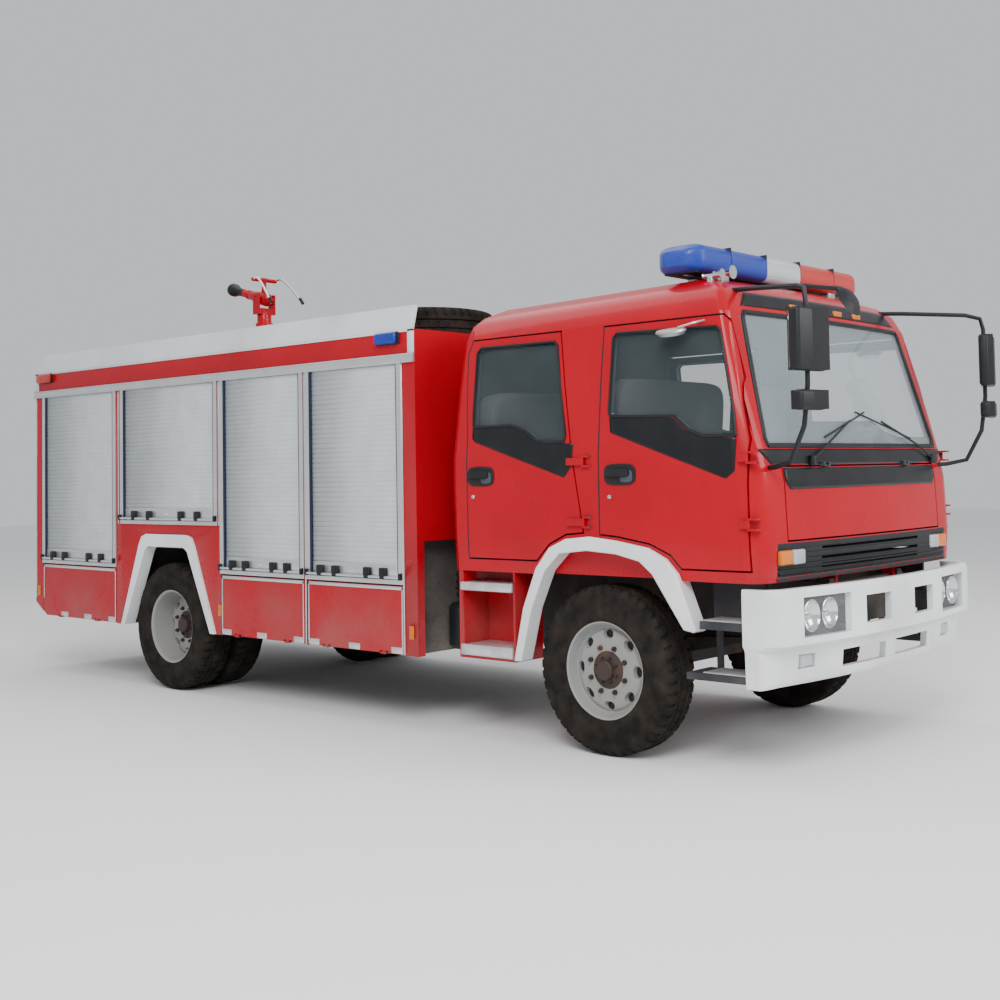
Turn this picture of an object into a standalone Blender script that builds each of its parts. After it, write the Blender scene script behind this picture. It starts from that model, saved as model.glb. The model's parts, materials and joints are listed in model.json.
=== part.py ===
"""Airport fire truck: a crew-cab, two-axle pumper on a forward-control chassis.

Metres, +Z up. The truck faces -Y, its right side is -X, and the origin lies on the ground under the
middle of its bounding box. Distances along the truck are written as they are measured on the real
thing, backwards from the front axle, and ahead of the axle they are negative.
"""

from math import cos, pi, radians, sin

import bmesh
import bpy
from mathutils import Matrix, Vector

# ---------------------------------------------------------------- driving dimensions
FRONT_AXLE_Y = -2.490
WHEELBASE = 4.35
GAP = 0.0005            # between pieces that touch
RUNNING_GAP = 0.010     # round a piece that swings in an opening

# wheels
TYRE_RADIUS = 0.502
TYRE_WIDTH = 0.275
BEAD_RADIUS = 0.280
RIM_RADIUS = 0.2985
FRONT_TRACK_HALF = 0.9975
TWIN_OUTER = 1.0975
TWIN_INNER = 0.7875
KINGPIN_X = 0.890
KINGPIN_RADIUS = 0.020
HUB_BORE = 0.040
REAR_BORE = 0.078
WHEEL_STEPS = 20         # the same on tyres and rims, so that their facets lie parallel

# chassis
RAIL_INNER = 0.390
RAIL_OUTER = 0.460
RAIL_BOTTOM = 0.740
RAIL_TOP = 1.020
RAIL_FRONT = -1.180
TILT_PIVOT = (-1.100, 1.000)    # distance behind the front axle, height
TILT_PIN_RADIUS = 0.015
TILT_RELIEF_TOP = 0.972            # nothing under the nose rises above this, so that the cab's edge can swing down
RAIL_RELIEF = -1.145               # the rails are lowered ahead of this
LAMP_RELIEF = -1.245               # the lamp housings are lowered behind this
DASH_END = 1.050                   # half width left to the dash where a front door swings
DASH_RELIEF = -1.078               # the dash is narrowed behind this
WALKWAY = ((0.300, 1.000), (2.450, 3.750), 0.008)

# body
BODY_HALF_WIDTH = 1.245
BODY_FRONT = 1.450
REAR_OVERHANG = 2.100
BODY_BOTTOM = 0.484
BODY_WALL_TOP = 2.646
ROOF_DECK = 2.600
LOCKER_DEPTH = 0.545
TUNNEL_HALF_WIDTH = 0.620
SHUTTER_TOP = 2.430
RAIL_BAND = (2.426, 2.487)
ARCH_BAY_HALF = 0.685
ARCH_BAY_SILL = 1.315
FLAP_TOP = 0.940
FLAP_THICKNESS = 0.032
COAMING_TOP = 2.812
COAMING_LEAN = 0.040
CORNER_POST = 0.130

# cab
CAB_FLOOR = (1.060, 1.105)
CAB_WALL = 0.045
ROOF_SLOPE = 0.022
LID_THICKNESS = 0.030
GLASS_INSET = 0.004
GLASS_THICKNESS = 0.008
FLARE_OUT = 1.215
DOOR_AXIS_X = 1.202
HINGE_LUG = 0.012
LID_PIVOT = (-1.172, 1.690)    # just ahead of the skin, so that the lid clears the panel above it
DOORWAY_INNER = 1.050    # how near the centre line the side openings reach

# fittings
BUMPER_FRONT = -1.375
BUMPER_WALL = 0.040
LIGHT_BAR_Z = (2.885, 3.000)
MONITOR_U = 4.720        # behind the front axle

REAR_AXLE_Y = FRONT_AXLE_Y + WHEELBASE
BODY_FRONT_Y = FRONT_AXLE_Y + BODY_FRONT
BODY_REAR_Y = REAR_AXLE_Y + REAR_OVERHANG

# plan of the cab against height: half width, and how far ahead of or behind the axle its ends lie
CAB_HALF_WIDTH = [(1.06, 1.180), (1.27, 1.190), (1.77, 1.190), (2.20, 1.150), (2.55, 1.105),
                  (2.66, 1.055), (2.72, 0.990), (2.77, 0.880), (2.79, 0.760)]
CAB_NOSE = [(1.06, -1.190), (1.27, -1.200), (1.60, -1.185), (1.77, -1.152), (2.585, -0.935),
            (2.66, -0.895), (2.72, -0.820), (2.77, -0.700), (2.79, -0.580)]
CAB_BACK = [(1.06, 1.175), (1.70, 1.185), (2.55, 1.140), (2.66, 1.115), (2.72, 1.070), (2.77, 0.990), (2.79, 0.880)]
NOSE_CORNER = [(1.77, 0.120), (2.10, 0.060), (2.79, 0.055)]
NOSE_BOW = 0.050
BACK_CORNER = 0.050


# ---------------------------------------------------------------- scene and materials
def clear_scene():
    for item in list(bpy.data.objects):
        bpy.data.objects.remove(item, do_unlink=True)


def collection(name, hidden=False):
    made = bpy.data.collections.new(name)
    bpy.context.scene.collection.children.link(made)
    made.hide_render = hidden
    return made


clear_scene()
PARTS = collection("airport_fire_truck")
CUTTERS = collection("cutters", hidden=True)

FINISHES = {
    "red_paint": ((0.56, 0.012, 0.016), 0.25, 0.0),
    "white_paint": ((0.80, 0.82, 0.82), 0.30, 0.0),
    "coaming_paint": ((0.66, 0.70, 0.70), 0.35, 0.0),
    "chassis_paint": ((0.035, 0.035, 0.038), 0.55, 0.0),
    "dark_plastic": ((0.045, 0.050, 0.058), 0.50, 0.0),
    "seat_cloth": ((0.30, 0.31, 0.33), 0.85, 0.0),
    "tyre_rubber": ((0.030, 0.027, 0.026), 0.85, 0.0),
    "rim_paint": ((0.50, 0.53, 0.50), 0.40, 0.3),
    "shutter_alloy": ((0.56, 0.60, 0.62), 0.35, 0.8),
    "bare_alloy": ((0.60, 0.62, 0.63), 0.40, 0.9),
    "glass": ((0.45, 0.52, 0.55), 0.05, 0.0),
    "lamp_glass": ((0.80, 0.84, 0.86), 0.08, 0.0),
    "beacon_lens": ((0.03, 0.06, 0.45), 0.15, 0.0),
    "axle_iron": ((0.05, 0.045, 0.042), 0.65, 0.4),
}
MATERIALS = {}


def material(slot):
    if slot not in MATERIALS:
        colour, roughness, metallic = FINISHES[slot]
        made = bpy.data.materials.new(slot)
        made.use_nodes = True
        shader = made.node_tree.nodes["Principled BSDF"]
        shader.inputs["Base Color"].default_value = (*colour, 1.0)
        shader.inputs["Roughness"].default_value = roughness
        shader.inputs["Metallic"].default_value = metallic
        MATERIALS[slot] = made
    return MATERIALS[slot]


# ---------------------------------------------------------------- modelling helpers
def along(table, value):
    """Straight-line interpolation in a table of (value, result) pairs."""
    if value <= table[0][0]:
        return table[0][1]
    for (low, first), (high, second) in zip(table, table[1:]):
        if value <= high:
            return first + (second - first) * (value - low) / (high - low)
    return table[-1][1]


def back(distance):
    """World Y of a place this far behind the front axle."""
    return FRONT_AXLE_Y + distance


def place(name, mesh, slot=None):
    """A part when it has a finish, otherwise a cutter or a piece that is joined to another."""
    item = bpy.data.objects.new(name, mesh)
    if slot:
        mesh.materials.append(material(slot))
        PARTS.objects.link(item)
    else:
        item.hide_render = True
        item.display_type = "WIRE"
        CUTTERS.objects.link(item)
    return item


def from_bmesh(name, shape, slot=None):
    bmesh.ops.recalc_face_normals(shape, faces=shape.faces)
    mesh = bpy.data.meshes.new(name)
    shape.to_mesh(mesh)
    shape.free()
    return place(name, mesh, slot)


def block(name, xs, ys, zs, slot=None):
    """A box from three ranges."""
    shape = bmesh.new()
    size = Vector((abs(xs[1] - xs[0]), abs(ys[1] - ys[0]), abs(zs[1] - zs[0])))
    middle = Vector(((xs[0] + xs[1]) / 2, (ys[0] + ys[1]) / 2, (zs[0] + zs[1]) / 2))
    bmesh.ops.create_cube(shape, size=1.0, matrix=Matrix.Translation(middle) @ Matrix.Diagonal((*size, 1.0)))
    return from_bmesh(name, shape, slot)


def settled(curve_object, slot=None):
    """The curve object as a mesh with its caps welded, so that it can be cut and joined."""
    bpy.context.view_layer.update()
    graph = bpy.context.evaluated_depsgraph_get()
    mesh = bpy.data.meshes.new_from_object(curve_object.evaluated_get(graph))
    matrix = curve_object.matrix_world.copy()
    name = curve_object.name
    bpy.data.objects.remove(curve_object, do_unlink=True)
    shape = bmesh.new()
    shape.from_mesh(mesh)
    bmesh.ops.remove_doubles(shape, verts=shape.verts, dist=0.00001)
    bmesh.ops.transform(shape, matrix=matrix, verts=shape.verts)
    bpy.data.meshes.remove(mesh)
    return from_bmesh(name, shape, slot)


TURNS = {
    "X": Matrix(((0, 0, 1), (1, 0, 0), (0, 1, 0))).to_4x4(),
    "Y": Matrix(((1, 0, 0), (0, 0, -1), (0, 1, 0))).to_4x4(),
    "Z": Matrix.Identity(4),
}


def prism(name, outline, axis, ends, slot=None):
    """A flat outline extruded between two places along a world axis.

    The outline's points are (Y, Z) for axis X, (X, Z) for axis Y and (X, Y) for axis Z.
    """
    curve = bpy.data.curves.new(name, "CURVE")
    curve.dimensions = "2D"
    curve.fill_mode = "BOTH"
    curve.extrude = abs(ends[1] - ends[0]) / 2
    spline = curve.splines.new("POLY")
    spline.points.add(len(outline) - 1)
    for point, (first, second) in zip(spline.points, outline):
        point.co = (first, second, 0.0, 1.0)
    spline.use_cyclic_u = True
    item = bpy.data.objects.new(name, curve)
    CUTTERS.objects.link(item)
    direction = {"X": Vector((1, 0, 0)), "Y": Vector((0, 1, 0)), "Z": Vector((0, 0, 1))}[axis]
    item.matrix_world = Matrix.Translation(direction * (ends[0] + ends[1]) / 2) @ TURNS[axis]
    return settled(item, slot)


def tube(name, points, radius, slot=None, sides=8):
    """A round bar through the points."""
    curve = bpy.data.curves.new(name, "CURVE")
    curve.dimensions = "3D"
    curve.bevel_depth = radius
    curve.bevel_resolution = (sides - 4) // 2
    curve.use_fill_caps = True
    spline = curve.splines.new("POLY")
    spline.points.add(len(points) - 1)
    for point, place_at in zip(spline.points, points):
        point.co = (*place_at, 1.0)
    item = bpy.data.objects.new(name, curve)
    CUTTERS.objects.link(item)
    return settled(item, slot)


def turned(name, profile, centre, axis, slot=None, steps=24, closed=False):
    """A profile of (radius, place along the axis) turned round a world axis through centre."""
    shape = bmesh.new()
    verts = [shape.verts.new((radius, 0.0, height)) for radius, height in profile]
    for first, second in zip(verts, verts[1:]):
        shape.edges.new((first, second))
    if closed:
        shape.edges.new((verts[-1], verts[0]))
    mesh = bpy.data.meshes.new(name)
    shape.to_mesh(mesh)
    shape.free()
    item = bpy.data.objects.new(name, mesh)
    CUTTERS.objects.link(item)
    screw = item.modifiers.new("turn", "SCREW")
    screw.steps = steps
    screw.render_steps = steps
    screw.use_merge_vertices = True
    screw.merge_threshold = 0.00005
    turn = {"X": Matrix.Rotation(pi / 2, 4, "Y"), "Y": Matrix.Rotation(-pi / 2, 4, "X"), "Z": Matrix.Identity(4)}
    item.matrix_world = Matrix.Translation(Vector(centre)) @ turn[axis]
    return settled(item, slot)


def rod(name, centre, axis, ends, radius, slot=None, steps=16):
    """A cylinder along a world axis; ends are world places on that axis."""
    place_on = {"X": 0, "Y": 1, "Z": 2}[axis]
    start = list(centre)
    start[place_on] = 0.0
    profile = [(0.0, ends[1]), (radius, ends[1]), (radius, ends[0]), (0.0, ends[0])]
    return turned(name, profile, start, axis, slot, steps)


def loft(name, loops, slot=None):
    """A closed solid through loops that all have the same number of points."""
    shape = bmesh.new()
    rings = [[shape.verts.new(point) for point in loop] for loop in loops]
    for lower, upper in zip(rings, rings[1:]):
        for index in range(len(lower)):
            following = (index + 1) % len(lower)
            shape.faces.new((lower[index], lower[following], upper[following], upper[index]))
    shape.faces.new(rings[0])
    shape.faces.new(rings[-1])
    return from_bmesh(name, shape, slot)


def boolean(target, other, operation):
    step = target.modifiers.new(operation.lower(), "BOOLEAN")
    step.operation = operation
    step.solver = "EXACT"
    step.object = other
    return target


def cut(target, *others):
    for other in others:
        boolean(target, other, "DIFFERENCE")
    return target


def join(target, *others):
    for other in others:
        boolean(target, other, "UNION")
    return target


def keep_inside(target, other):
    return boolean(target, other, "INTERSECT")


def rounded(target, width, segments=2):
    step = target.modifiers.new("rounding", "BEVEL")
    step.width = width
    step.segments = segments
    step.limit_method = "ANGLE"
    step.angle_limit = radians(40)
    return target


def pivot(name, location, pieces):
    """An empty on a joint's axis, which carries the pieces that move with it."""
    empty = bpy.data.objects.new(name, None)
    empty.empty_display_size = 0.15
    empty.location = location
    PARTS.objects.link(empty)
    for piece in pieces:
        piece.parent = empty
        piece.matrix_parent_inverse = Matrix.Translation(-Vector(location))
    return empty


def bore_for(radius, steps):
    """Radius of a faceted bore in which a pin with as many facets can turn."""
    return radius / cos(pi / steps) + GAP


def hinge(name, fixed, moving, axis, centre, half, fixed_web, moving_webs, pin):
    """A pin held by two lugs of the fixed piece, inside a barrel of the moving piece.

    A web is its two ranges across the axis, in X, Y, Z order.
    """
    place_on = {"X": 0, "Y": 1, "Z": 2}[axis]
    at = centre[place_on]

    def web(label, ranges, ends):
        spans = list(ranges)
        spans.insert(place_on, ends)
        return block(name + label, *spans)

    for label, end in (("_lug_low", -1.0), ("_lug_high", 1.0)):
        join(fixed, web(label, fixed_web, sorted((at + end * (half + GAP), at + end * (half + GAP + HINGE_LUG)))))
    reach = half + HINGE_LUG / 2
    join(fixed, rod(name + "_pin", centre, axis, (at - reach, at + reach), pin, steps=8))
    for number, ranges in enumerate(moving_webs):
        join(moving, web("_web_%d" % number, ranges, (at - half, at + half)))
    join(moving, rod(name + "_barrel", centre, axis, (at - half, at + half), 2 * pin, steps=8))
    cut(moving, rod(name + "_bore", centre, axis, (at - 2 * half, at + 2 * half), bore_for(pin, 8), steps=8))


def offset(outline, distance):
    """The outline moved outwards by distance, or inwards when it is negative."""
    count = len(outline)
    area = sum(outline[i][0] * outline[(i + 1) % count][1] - outline[(i + 1) % count][0] * outline[i][1]
               for i in range(count))
    side = 1.0 if area > 0 else -1.0
    moved = []
    for index in range(count):
        here = Vector(outline[index])
        before = (here - Vector(outline[index - 1])).normalized()
        after = (Vector(outline[(index + 1) % count]) - here).normalized()
        normal_before = Vector((before.y, -before.x)) * side
        normal_after = Vector((after.y, -after.x)) * side
        bisector = (normal_before + normal_after) / (1.0 + normal_before.dot(normal_after))
        moved.append(tuple(here + bisector * distance))
    return moved


def both_sides(maker):
    """Calls the maker for the right side, which is -X, and for the left."""
    return [maker("r", -1.0), maker("l", 1.0)]


def side_range(side, near, far):
    return (side * near, side * far)


# ---------------------------------------------------------------- wheels
def tyre_profile():
    """Half of the section, tread to bead, and its mirror image."""
    half = TYRE_WIDTH / 2
    wall = [(BEAD_RADIUS, half - 0.0325), (0.34, half - 0.0050), (0.42, half), (TYRE_RADIUS, half - 0.0300)]
    return wall + [(radius, -reach) for radius, reach in reversed(wall)]


def seat_profile():
    """Outside of a rim barrel under its tyre, from the outer flange to the inner one."""
    half = TYRE_WIDTH / 2
    seat = BEAD_RADIUS - 0.0003
    return [(RIM_RADIUS, half - 0.0125), (RIM_RADIUS, half - 0.021), (seat, half - 0.0312),
            (seat, 0.0312 - half), (RIM_RADIUS, 0.021 - half), (RIM_RADIUS, 0.0125 - half)]


def front_rim_profile():
    """Closed section: hub cap, convex disc, barrel, and the bore for the spindle."""
    face = [(0.0, 0.150), (0.055, 0.150), (0.095, 0.132), (0.108, 0.110), (0.108, 0.088),
            (0.190, 0.086), (0.238, 0.055), (0.262, 0.040), (0.264, 0.112)]
    rear = [(0.264, -0.112), (0.262, 0.015), (0.180, 0.062), (0.105, 0.062), (0.105, 0.000),
            (HUB_BORE, 0.000), (HUB_BORE, 0.092), (0.0, 0.092)]
    return face + seat_profile() + rear


def rear_rim_profile():
    """Closed section of both twin rims bolted back to back, with the hub; zero is the outer tyre's middle."""
    step = TWIN_OUTER - TWIN_INNER
    outer = seat_profile()
    inner = [(radius, reach - step) for radius, reach in outer]
    face = [(0.0, 0.015), (0.085, 0.015), (0.105, -0.005), (0.110, -0.135), (0.195, -0.138),
            (0.225, -0.085), (0.262, -0.055), (0.264, 0.112)]
    web = [(0.264, -0.112), (0.250, -0.150), (0.250, -step + 0.150), (0.264, -step + 0.112)]
    rear = [(0.264, -step - 0.112), (0.262, -step + 0.060), (0.215, -0.190), (0.120, -0.176), (0.120, -0.400),
            (REAR_BORE, -0.400), (REAR_BORE, -0.170), (0.0, -0.170)]
    return face + outer + web + inner + rear


def mirrored(profile, side):
    """The profile with its outboard side towards the given side of the truck."""
    return [(radius, side * reach) for radius, reach in profile]


def make_tyre(name, centre, axis="X"):
    return turned(name, tyre_profile(), centre, axis, "tyre_rubber", WHEEL_STEPS, closed=True)


def front_wheel(suffix, side):
    centre = (side * FRONT_TRACK_HALF, FRONT_AXLE_Y, TYRE_RADIUS)
    tyre = make_tyre("front_tyre_" + suffix, centre)
    rim = turned("front_rim_" + suffix, mirrored(front_rim_profile(), side), centre, "X", "rim_paint", WHEEL_STEPS)
    pivot("front_spin_" + suffix, centre, [tyre, rim])


def rear_wheel(suffix, side):
    centre = (side * TWIN_OUTER, REAR_AXLE_Y, TYRE_RADIUS)
    outer = make_tyre("rear_tyre_outer_" + suffix, centre)
    inner = make_tyre("rear_tyre_inner_" + suffix, (side * TWIN_INNER, REAR_AXLE_Y, TYRE_RADIUS))
    rim = turned("rear_rim_" + suffix, mirrored(rear_rim_profile(), side), centre, "X", "rim_paint", WHEEL_STEPS)
    pivot("rear_spin_" + suffix, centre, [outer, inner, rim])


def knuckle(suffix, side):
    """Steering knuckle: a fork round the axle's eye, a backing plate and the spindle."""
    pin = (side * KINGPIN_X, FRONT_AXLE_Y, 0.0)
    base = block("knuckle_" + suffix, side_range(side, KINGPIN_X - 0.045, KINGPIN_X + 0.070),
                 (FRONT_AXLE_Y - 0.045, FRONT_AXLE_Y + 0.045), (0.395, 0.430), "axle_iron")
    upper = block("knuckle_upper_" + suffix, side_range(side, KINGPIN_X - 0.045, KINGPIN_X + 0.070),
                  (FRONT_AXLE_Y - 0.045, FRONT_AXLE_Y + 0.045), (0.575, 0.610))
    web = block("knuckle_web_" + suffix, side_range(side, KINGPIN_X + 0.052, KINGPIN_X + 0.072),
                (FRONT_AXLE_Y - 0.045, FRONT_AXLE_Y + 0.045), (0.400, 0.605))
    plate = rod("backing_plate_" + suffix, (0.0, FRONT_AXLE_Y, TYRE_RADIUS), "X",
                sorted(side_range(side, KINGPIN_X + 0.060, KINGPIN_X + 0.080)), 0.180, steps=20)
    pin_rod = rod("kingpin_" + suffix, pin, "Z", (0.410, 0.595), KINGPIN_RADIUS, steps=16)
    spindle = rod("spindle_" + suffix, (0.0, FRONT_AXLE_Y, TYRE_RADIUS), "X",
                  sorted(side_range(side, KINGPIN_X + 0.065, FRONT_TRACK_HALF + 0.085)), HUB_BORE - 0.002, steps=16)
    join(base, upper, web, plate, pin_rod, spindle)
    pivot("steer_" + suffix, (side * KINGPIN_X, FRONT_AXLE_Y, TYRE_RADIUS), [base])


# ---------------------------------------------------------------- chassis
def chassis_frame():
    """Two long rails, cross members, bumper arms, the tilt pin and the rear underrun bar."""
    rear_end = BODY_REAR_Y - 0.100
    frame = block("chassis_frame", (-RAIL_OUTER, -RAIL_INNER), (back(RAIL_FRONT), rear_end),
                  (RAIL_BOTTOM, RAIL_TOP - GAP), "chassis_paint")
    join(frame, block("rail_left", (RAIL_INNER, RAIL_OUTER), (back(RAIL_FRONT), rear_end),
                      (RAIL_BOTTOM, RAIL_TOP - GAP)))
    members = [(back(-1.140), 0.050, 0.76, 0.90), (back(1.750), 0.060, 0.80, 0.96), (back(2.900), 0.060, 0.80, 0.96),
               (REAR_AXLE_Y - 0.620, 0.060, 0.80, 0.96), (REAR_AXLE_Y + 0.620, 0.060, 0.80, 0.96),
               (rear_end - 0.070, 0.060, 0.76, 0.98)]
    for number, (start, depth, low, high) in enumerate(members):
        join(frame, block("cross_member_%d" % number, (-RAIL_INNER - 0.020, RAIL_INNER + 0.020),
                          (start, start + depth), (low, high)))
    for suffix, side in (("r", -1.0), ("l", 1.0)):
        arm_end = bumper_face(RAIL_OUTER) + BUMPER_WALL / 2
        join(frame, block("bumper_arm_" + suffix, side_range(side, 0.440, 0.520),
                          (back(arm_end), back(RAIL_FRONT + 0.100)), (0.800, 0.900)))
        join(frame, block("underrun_hanger_" + suffix, side_range(side, 0.400, 0.450),
                          (rear_end - 0.080, rear_end + 0.030), (0.480, 0.800)))
        shelf = block("tilt_bracket_" + suffix, side_range(side, RAIL_INNER + 0.005, RAIL_OUTER - 0.010),
                      (back(TILT_PIVOT[0] - 0.040), back(TILT_PIVOT[0] + 0.040)), (0.980, 1.040))
        join(frame, shelf)
    join(frame, block("underrun_bar", (-0.600, 0.600), (rear_end + 0.020, rear_end + 0.080), (0.480, 0.580)))
    join(frame, rod("tilt_pin", (0.0, back(TILT_PIVOT[0]), TILT_PIVOT[1]), "X", (-0.420, 0.420), TILT_PIN_RADIUS,
                    steps=12))
    cut(frame, block("rail_relief", (-0.500, 0.500), (back(RAIL_FRONT) - 0.050, back(RAIL_RELIEF)),
                     (TILT_RELIEF_TOP, 1.100)))
    return cut(frame, bumper_solid("bumper_arm_limit", GAP))


def front_axle():
    """Drop beam with an eye at each end, two leaf packs and their hangers under the rails."""
    axle_y = FRONT_AXLE_Y
    reach = KINGPIN_X - 0.020
    beam = block("front_axle", (-reach, reach), (axle_y - 0.045, axle_y + 0.045), (0.455, 0.545), "axle_iron")
    for suffix, side in (("r", -1.0), ("l", 1.0)):
        join(beam, rod("axle_eye_" + suffix, (side * KINGPIN_X, axle_y, 0.0), "Z", (0.440, 0.565), 0.045, steps=16))
        leaf_outline = [(back(-0.640), 0.655), (back(-0.640), 0.675), (back(-0.10), 0.640), (back(0.10), 0.640),
                        (back(0.640), 0.675), (back(0.640), 0.655), (back(0.10), 0.540), (back(-0.10), 0.540)]
        join(beam, prism("front_leaf_" + suffix, leaf_outline, "X", sorted(side_range(side, 0.385, 0.465))))
        for end, where in (("front", -0.640), ("rear", 0.640)):
            join(beam, block("spring_hanger_%s_%s" % (end, suffix), side_range(side, 0.395, 0.455),
                             (back(where - 0.035), back(where + 0.035)), (0.640, RAIL_BOTTOM - GAP)))
    for suffix, side in (("r", -1.0), ("l", 1.0)):
        cut(beam, rod("kingpin_bore_" + suffix, (side * KINGPIN_X, axle_y, 0.0), "Z", (0.300, 0.700),
                      bore_for(KINGPIN_RADIUS, 16), steps=16))
    return beam


def rear_axle():
    """Tube with its differential bowl, propeller shaft, leaf packs and hangers."""
    tube_end = TWIN_OUTER - 0.180
    casing = rod("rear_axle", (0.0, REAR_AXLE_Y, TYRE_RADIUS), "X", (-tube_end, tube_end), REAR_BORE - 0.006,
                 "axle_iron", 16)
    bowl = [(0.0, 0.180), (0.110, 0.155), (0.190, 0.060), (0.190, -0.060), (0.110, -0.155), (0.0, -0.180)]
    join(casing, turned("differential", bowl, (0.0, REAR_AXLE_Y, TYRE_RADIUS), "Y", steps=16))
    join(casing, rod("propeller_shaft", (0.0, 0.0, TYRE_RADIUS + 0.060), "Y", (back(1.620), REAR_AXLE_Y - 0.100),
                     0.050, steps=12))
    for suffix, side in (("r", -1.0), ("l", 1.0)):
        leaf_outline = [(REAR_AXLE_Y - 0.700, 0.660), (REAR_AXLE_Y - 0.700, 0.685), (REAR_AXLE_Y - 0.12, 0.640),
                        (REAR_AXLE_Y + 0.12, 0.640), (REAR_AXLE_Y + 0.700, 0.685), (REAR_AXLE_Y + 0.700, 0.660),
                        (REAR_AXLE_Y + 0.12, 0.540), (REAR_AXLE_Y - 0.12, 0.540)]
        join(casing, prism("rear_leaf_" + suffix, leaf_outline, "X", sorted(side_range(side, 0.385, 0.465))))
        for end, where in (("front", -0.700), ("rear", 0.700)):
            join(casing, block("rear_hanger_%s_%s" % (end, suffix), side_range(side, 0.395, 0.455),
                               (REAR_AXLE_Y + where - 0.035, REAR_AXLE_Y + where + 0.035),
                               (0.650, RAIL_BOTTOM - GAP)))
    return casing


def engine():
    """Engine, radiator and gearbox as one plain mass between the rails."""
    inside = RAIL_INNER - 0.020
    power = block("engine_block", (-0.340, 0.340), (back(-0.700), back(0.800)), (0.580, 1.040), "chassis_paint")
    join(power, block("radiator", (-inside, inside), (back(-0.960), back(-0.860)), (0.620, 1.040)))
    join(power, block("cooling_duct", (-0.250, 0.250), (back(-0.880), back(-0.680)), (0.700, 0.960)))
    join(power, block("gearbox", (-0.190, 0.190), (back(0.780), back(1.560)), (0.470, 0.860)))
    join(power, block("engine_mounts", (-RAIL_INNER + GAP, RAIL_INNER - GAP), (back(0.100), back(0.200)),
                      (0.820, 0.900)))
    return power


def air_cleaner():
    """Round canister with a ribbed bellows above it, on a bracket off the right rail."""
    centre_x = -0.880
    place_at = (centre_x, back(1.355), 0.0)
    ribs = []
    bellows_low = 0.850
    pitch = 0.045
    for number in range(4):
        ribs += [(0.078, bellows_low + pitch * number + 0.015), (0.060, bellows_low + pitch * (number + 1))]
    profile = [(0.0, 1.090), (0.055, 1.090)] + list(reversed(ribs)) + [
        (0.055, 0.845), (0.055, 0.822), (0.105, 0.815), (0.125, 0.790), (0.125, 0.540), (0.100, 0.515), (0.0, 0.515)]
    canister = turned("air_cleaner", profile, place_at, "Z", "dark_plastic", 14)
    join(canister, block("air_cleaner_bracket", (centre_x + 0.090, -RAIL_OUTER - GAP),
                         (back(1.325), back(1.385)), (0.755, 0.800)))
    return canister


def battery_box():
    box = block("battery_box", (0.620, 1.080), (back(1.225), back(1.430)), (0.560, 0.900), "dark_plastic")
    rounded(box, 0.015)
    join(box, block("battery_bracket", (RAIL_OUTER + GAP, 0.640), (back(1.270), back(1.390)), (0.755, 0.800)))
    return box


# ---------------------------------------------------------------- bumper, lamps and front steps
def bumper_face(x):
    """How far ahead of the axle the bumper's face lies at this distance from the centre line."""
    return BUMPER_FRONT + 0.095 * (x / 1.080) ** 2


def bumper_edge(setback, inset):
    """Right-hand half of one wall surface in plan, from its rear end to the centre line."""
    reach = 1.235 - 0.25 * setback - inset
    corner = reach - 0.155
    start = bumper_face(1.080) + setback + inset
    points = [(reach, -1.050)]
    corner_depth = -1.130 - start
    for number in range(5):
        angle = pi / 2 * number / 4
        points.append((corner + 0.155 * cos(angle), start + corner_depth * (1.0 - sin(angle))))
    for number in range(1, 5):
        x = corner * (1 - number / 4)
        points.append((x, bumper_face(x * 1.080 / corner) + setback + inset))
    return points


def bumper_loop(height, setback, grown=0.0):
    outer = bumper_edge(setback, -grown)
    inner = bumper_edge(setback, BUMPER_WALL + grown)
    around = [(-x, y) for x, y in outer] + [(x, y) for x, y in reversed(outer[:-1])]
    around += [(x, y) for x, y in inner] + [(-x, y) for x, y in reversed(inner[:-1])]
    return [(x, back(y), height) for x, y in around]


BUMPER_SECTIONS = [(0.500, 0.125), (0.530, 0.100), (0.700, 0.085), (0.735, 0.0), (1.010, 0.0), (1.035, 0.018)]


def bumper_solid(name, grown=0.0, slot=None):
    """The moulding without its openings; what is fitted to it is cut with a slightly grown copy."""
    return loft(name, [bumper_loop(height, setback, grown) for height, setback in BUMPER_SECTIONS], slot)


def front_bumper():
    """Bulging hollow moulding, drawn back under its crease, with lamp, tow and air openings."""
    moulding = bumper_solid("front_bumper", 0.0, "white_paint")
    through = (back(-1.500), back(-1.150))
    for side in (-1.0, 1.0):
        for label, near, far, low, high in (("lamp", 0.575, 1.000, 0.770, 0.985), ("tow", 0.150, 0.425, 0.800, 0.955),
                                            ("slot", 0.060, 0.530, 0.560, 0.655), ("fog", 0.790, 0.930, 0.590, 0.665)):
            hole = block("bumper_%s_%d" % (label, side), side_range(side, near, far), through, (low, high))
            cut(moulding, hole)
    return moulding


def headlamp(suffix, side):
    """Lamp housing that follows the back of the bumper's wall round its opening."""
    near, far = 0.560, 1.020
    front = [(side * x, back(bumper_face(x) + BUMPER_WALL * 0.6)) for x in (near, (near + far) / 2, far)]
    outline = front + [(side * far, back(-1.120)), (side * near, back(-1.120))]
    lamp = prism("headlamp_" + suffix, outline, "Z", (0.755, 1.000), "lamp_glass")
    cut(lamp, block("lamp_relief_" + suffix, side_range(side, near - 0.050, far + 0.050),
                    (back(LAMP_RELIEF), back(-1.000)), (TILT_RELIEF_TOP, 1.100)))
    return cut(lamp, bumper_solid("lamp_limit_" + suffix, GAP))


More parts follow.
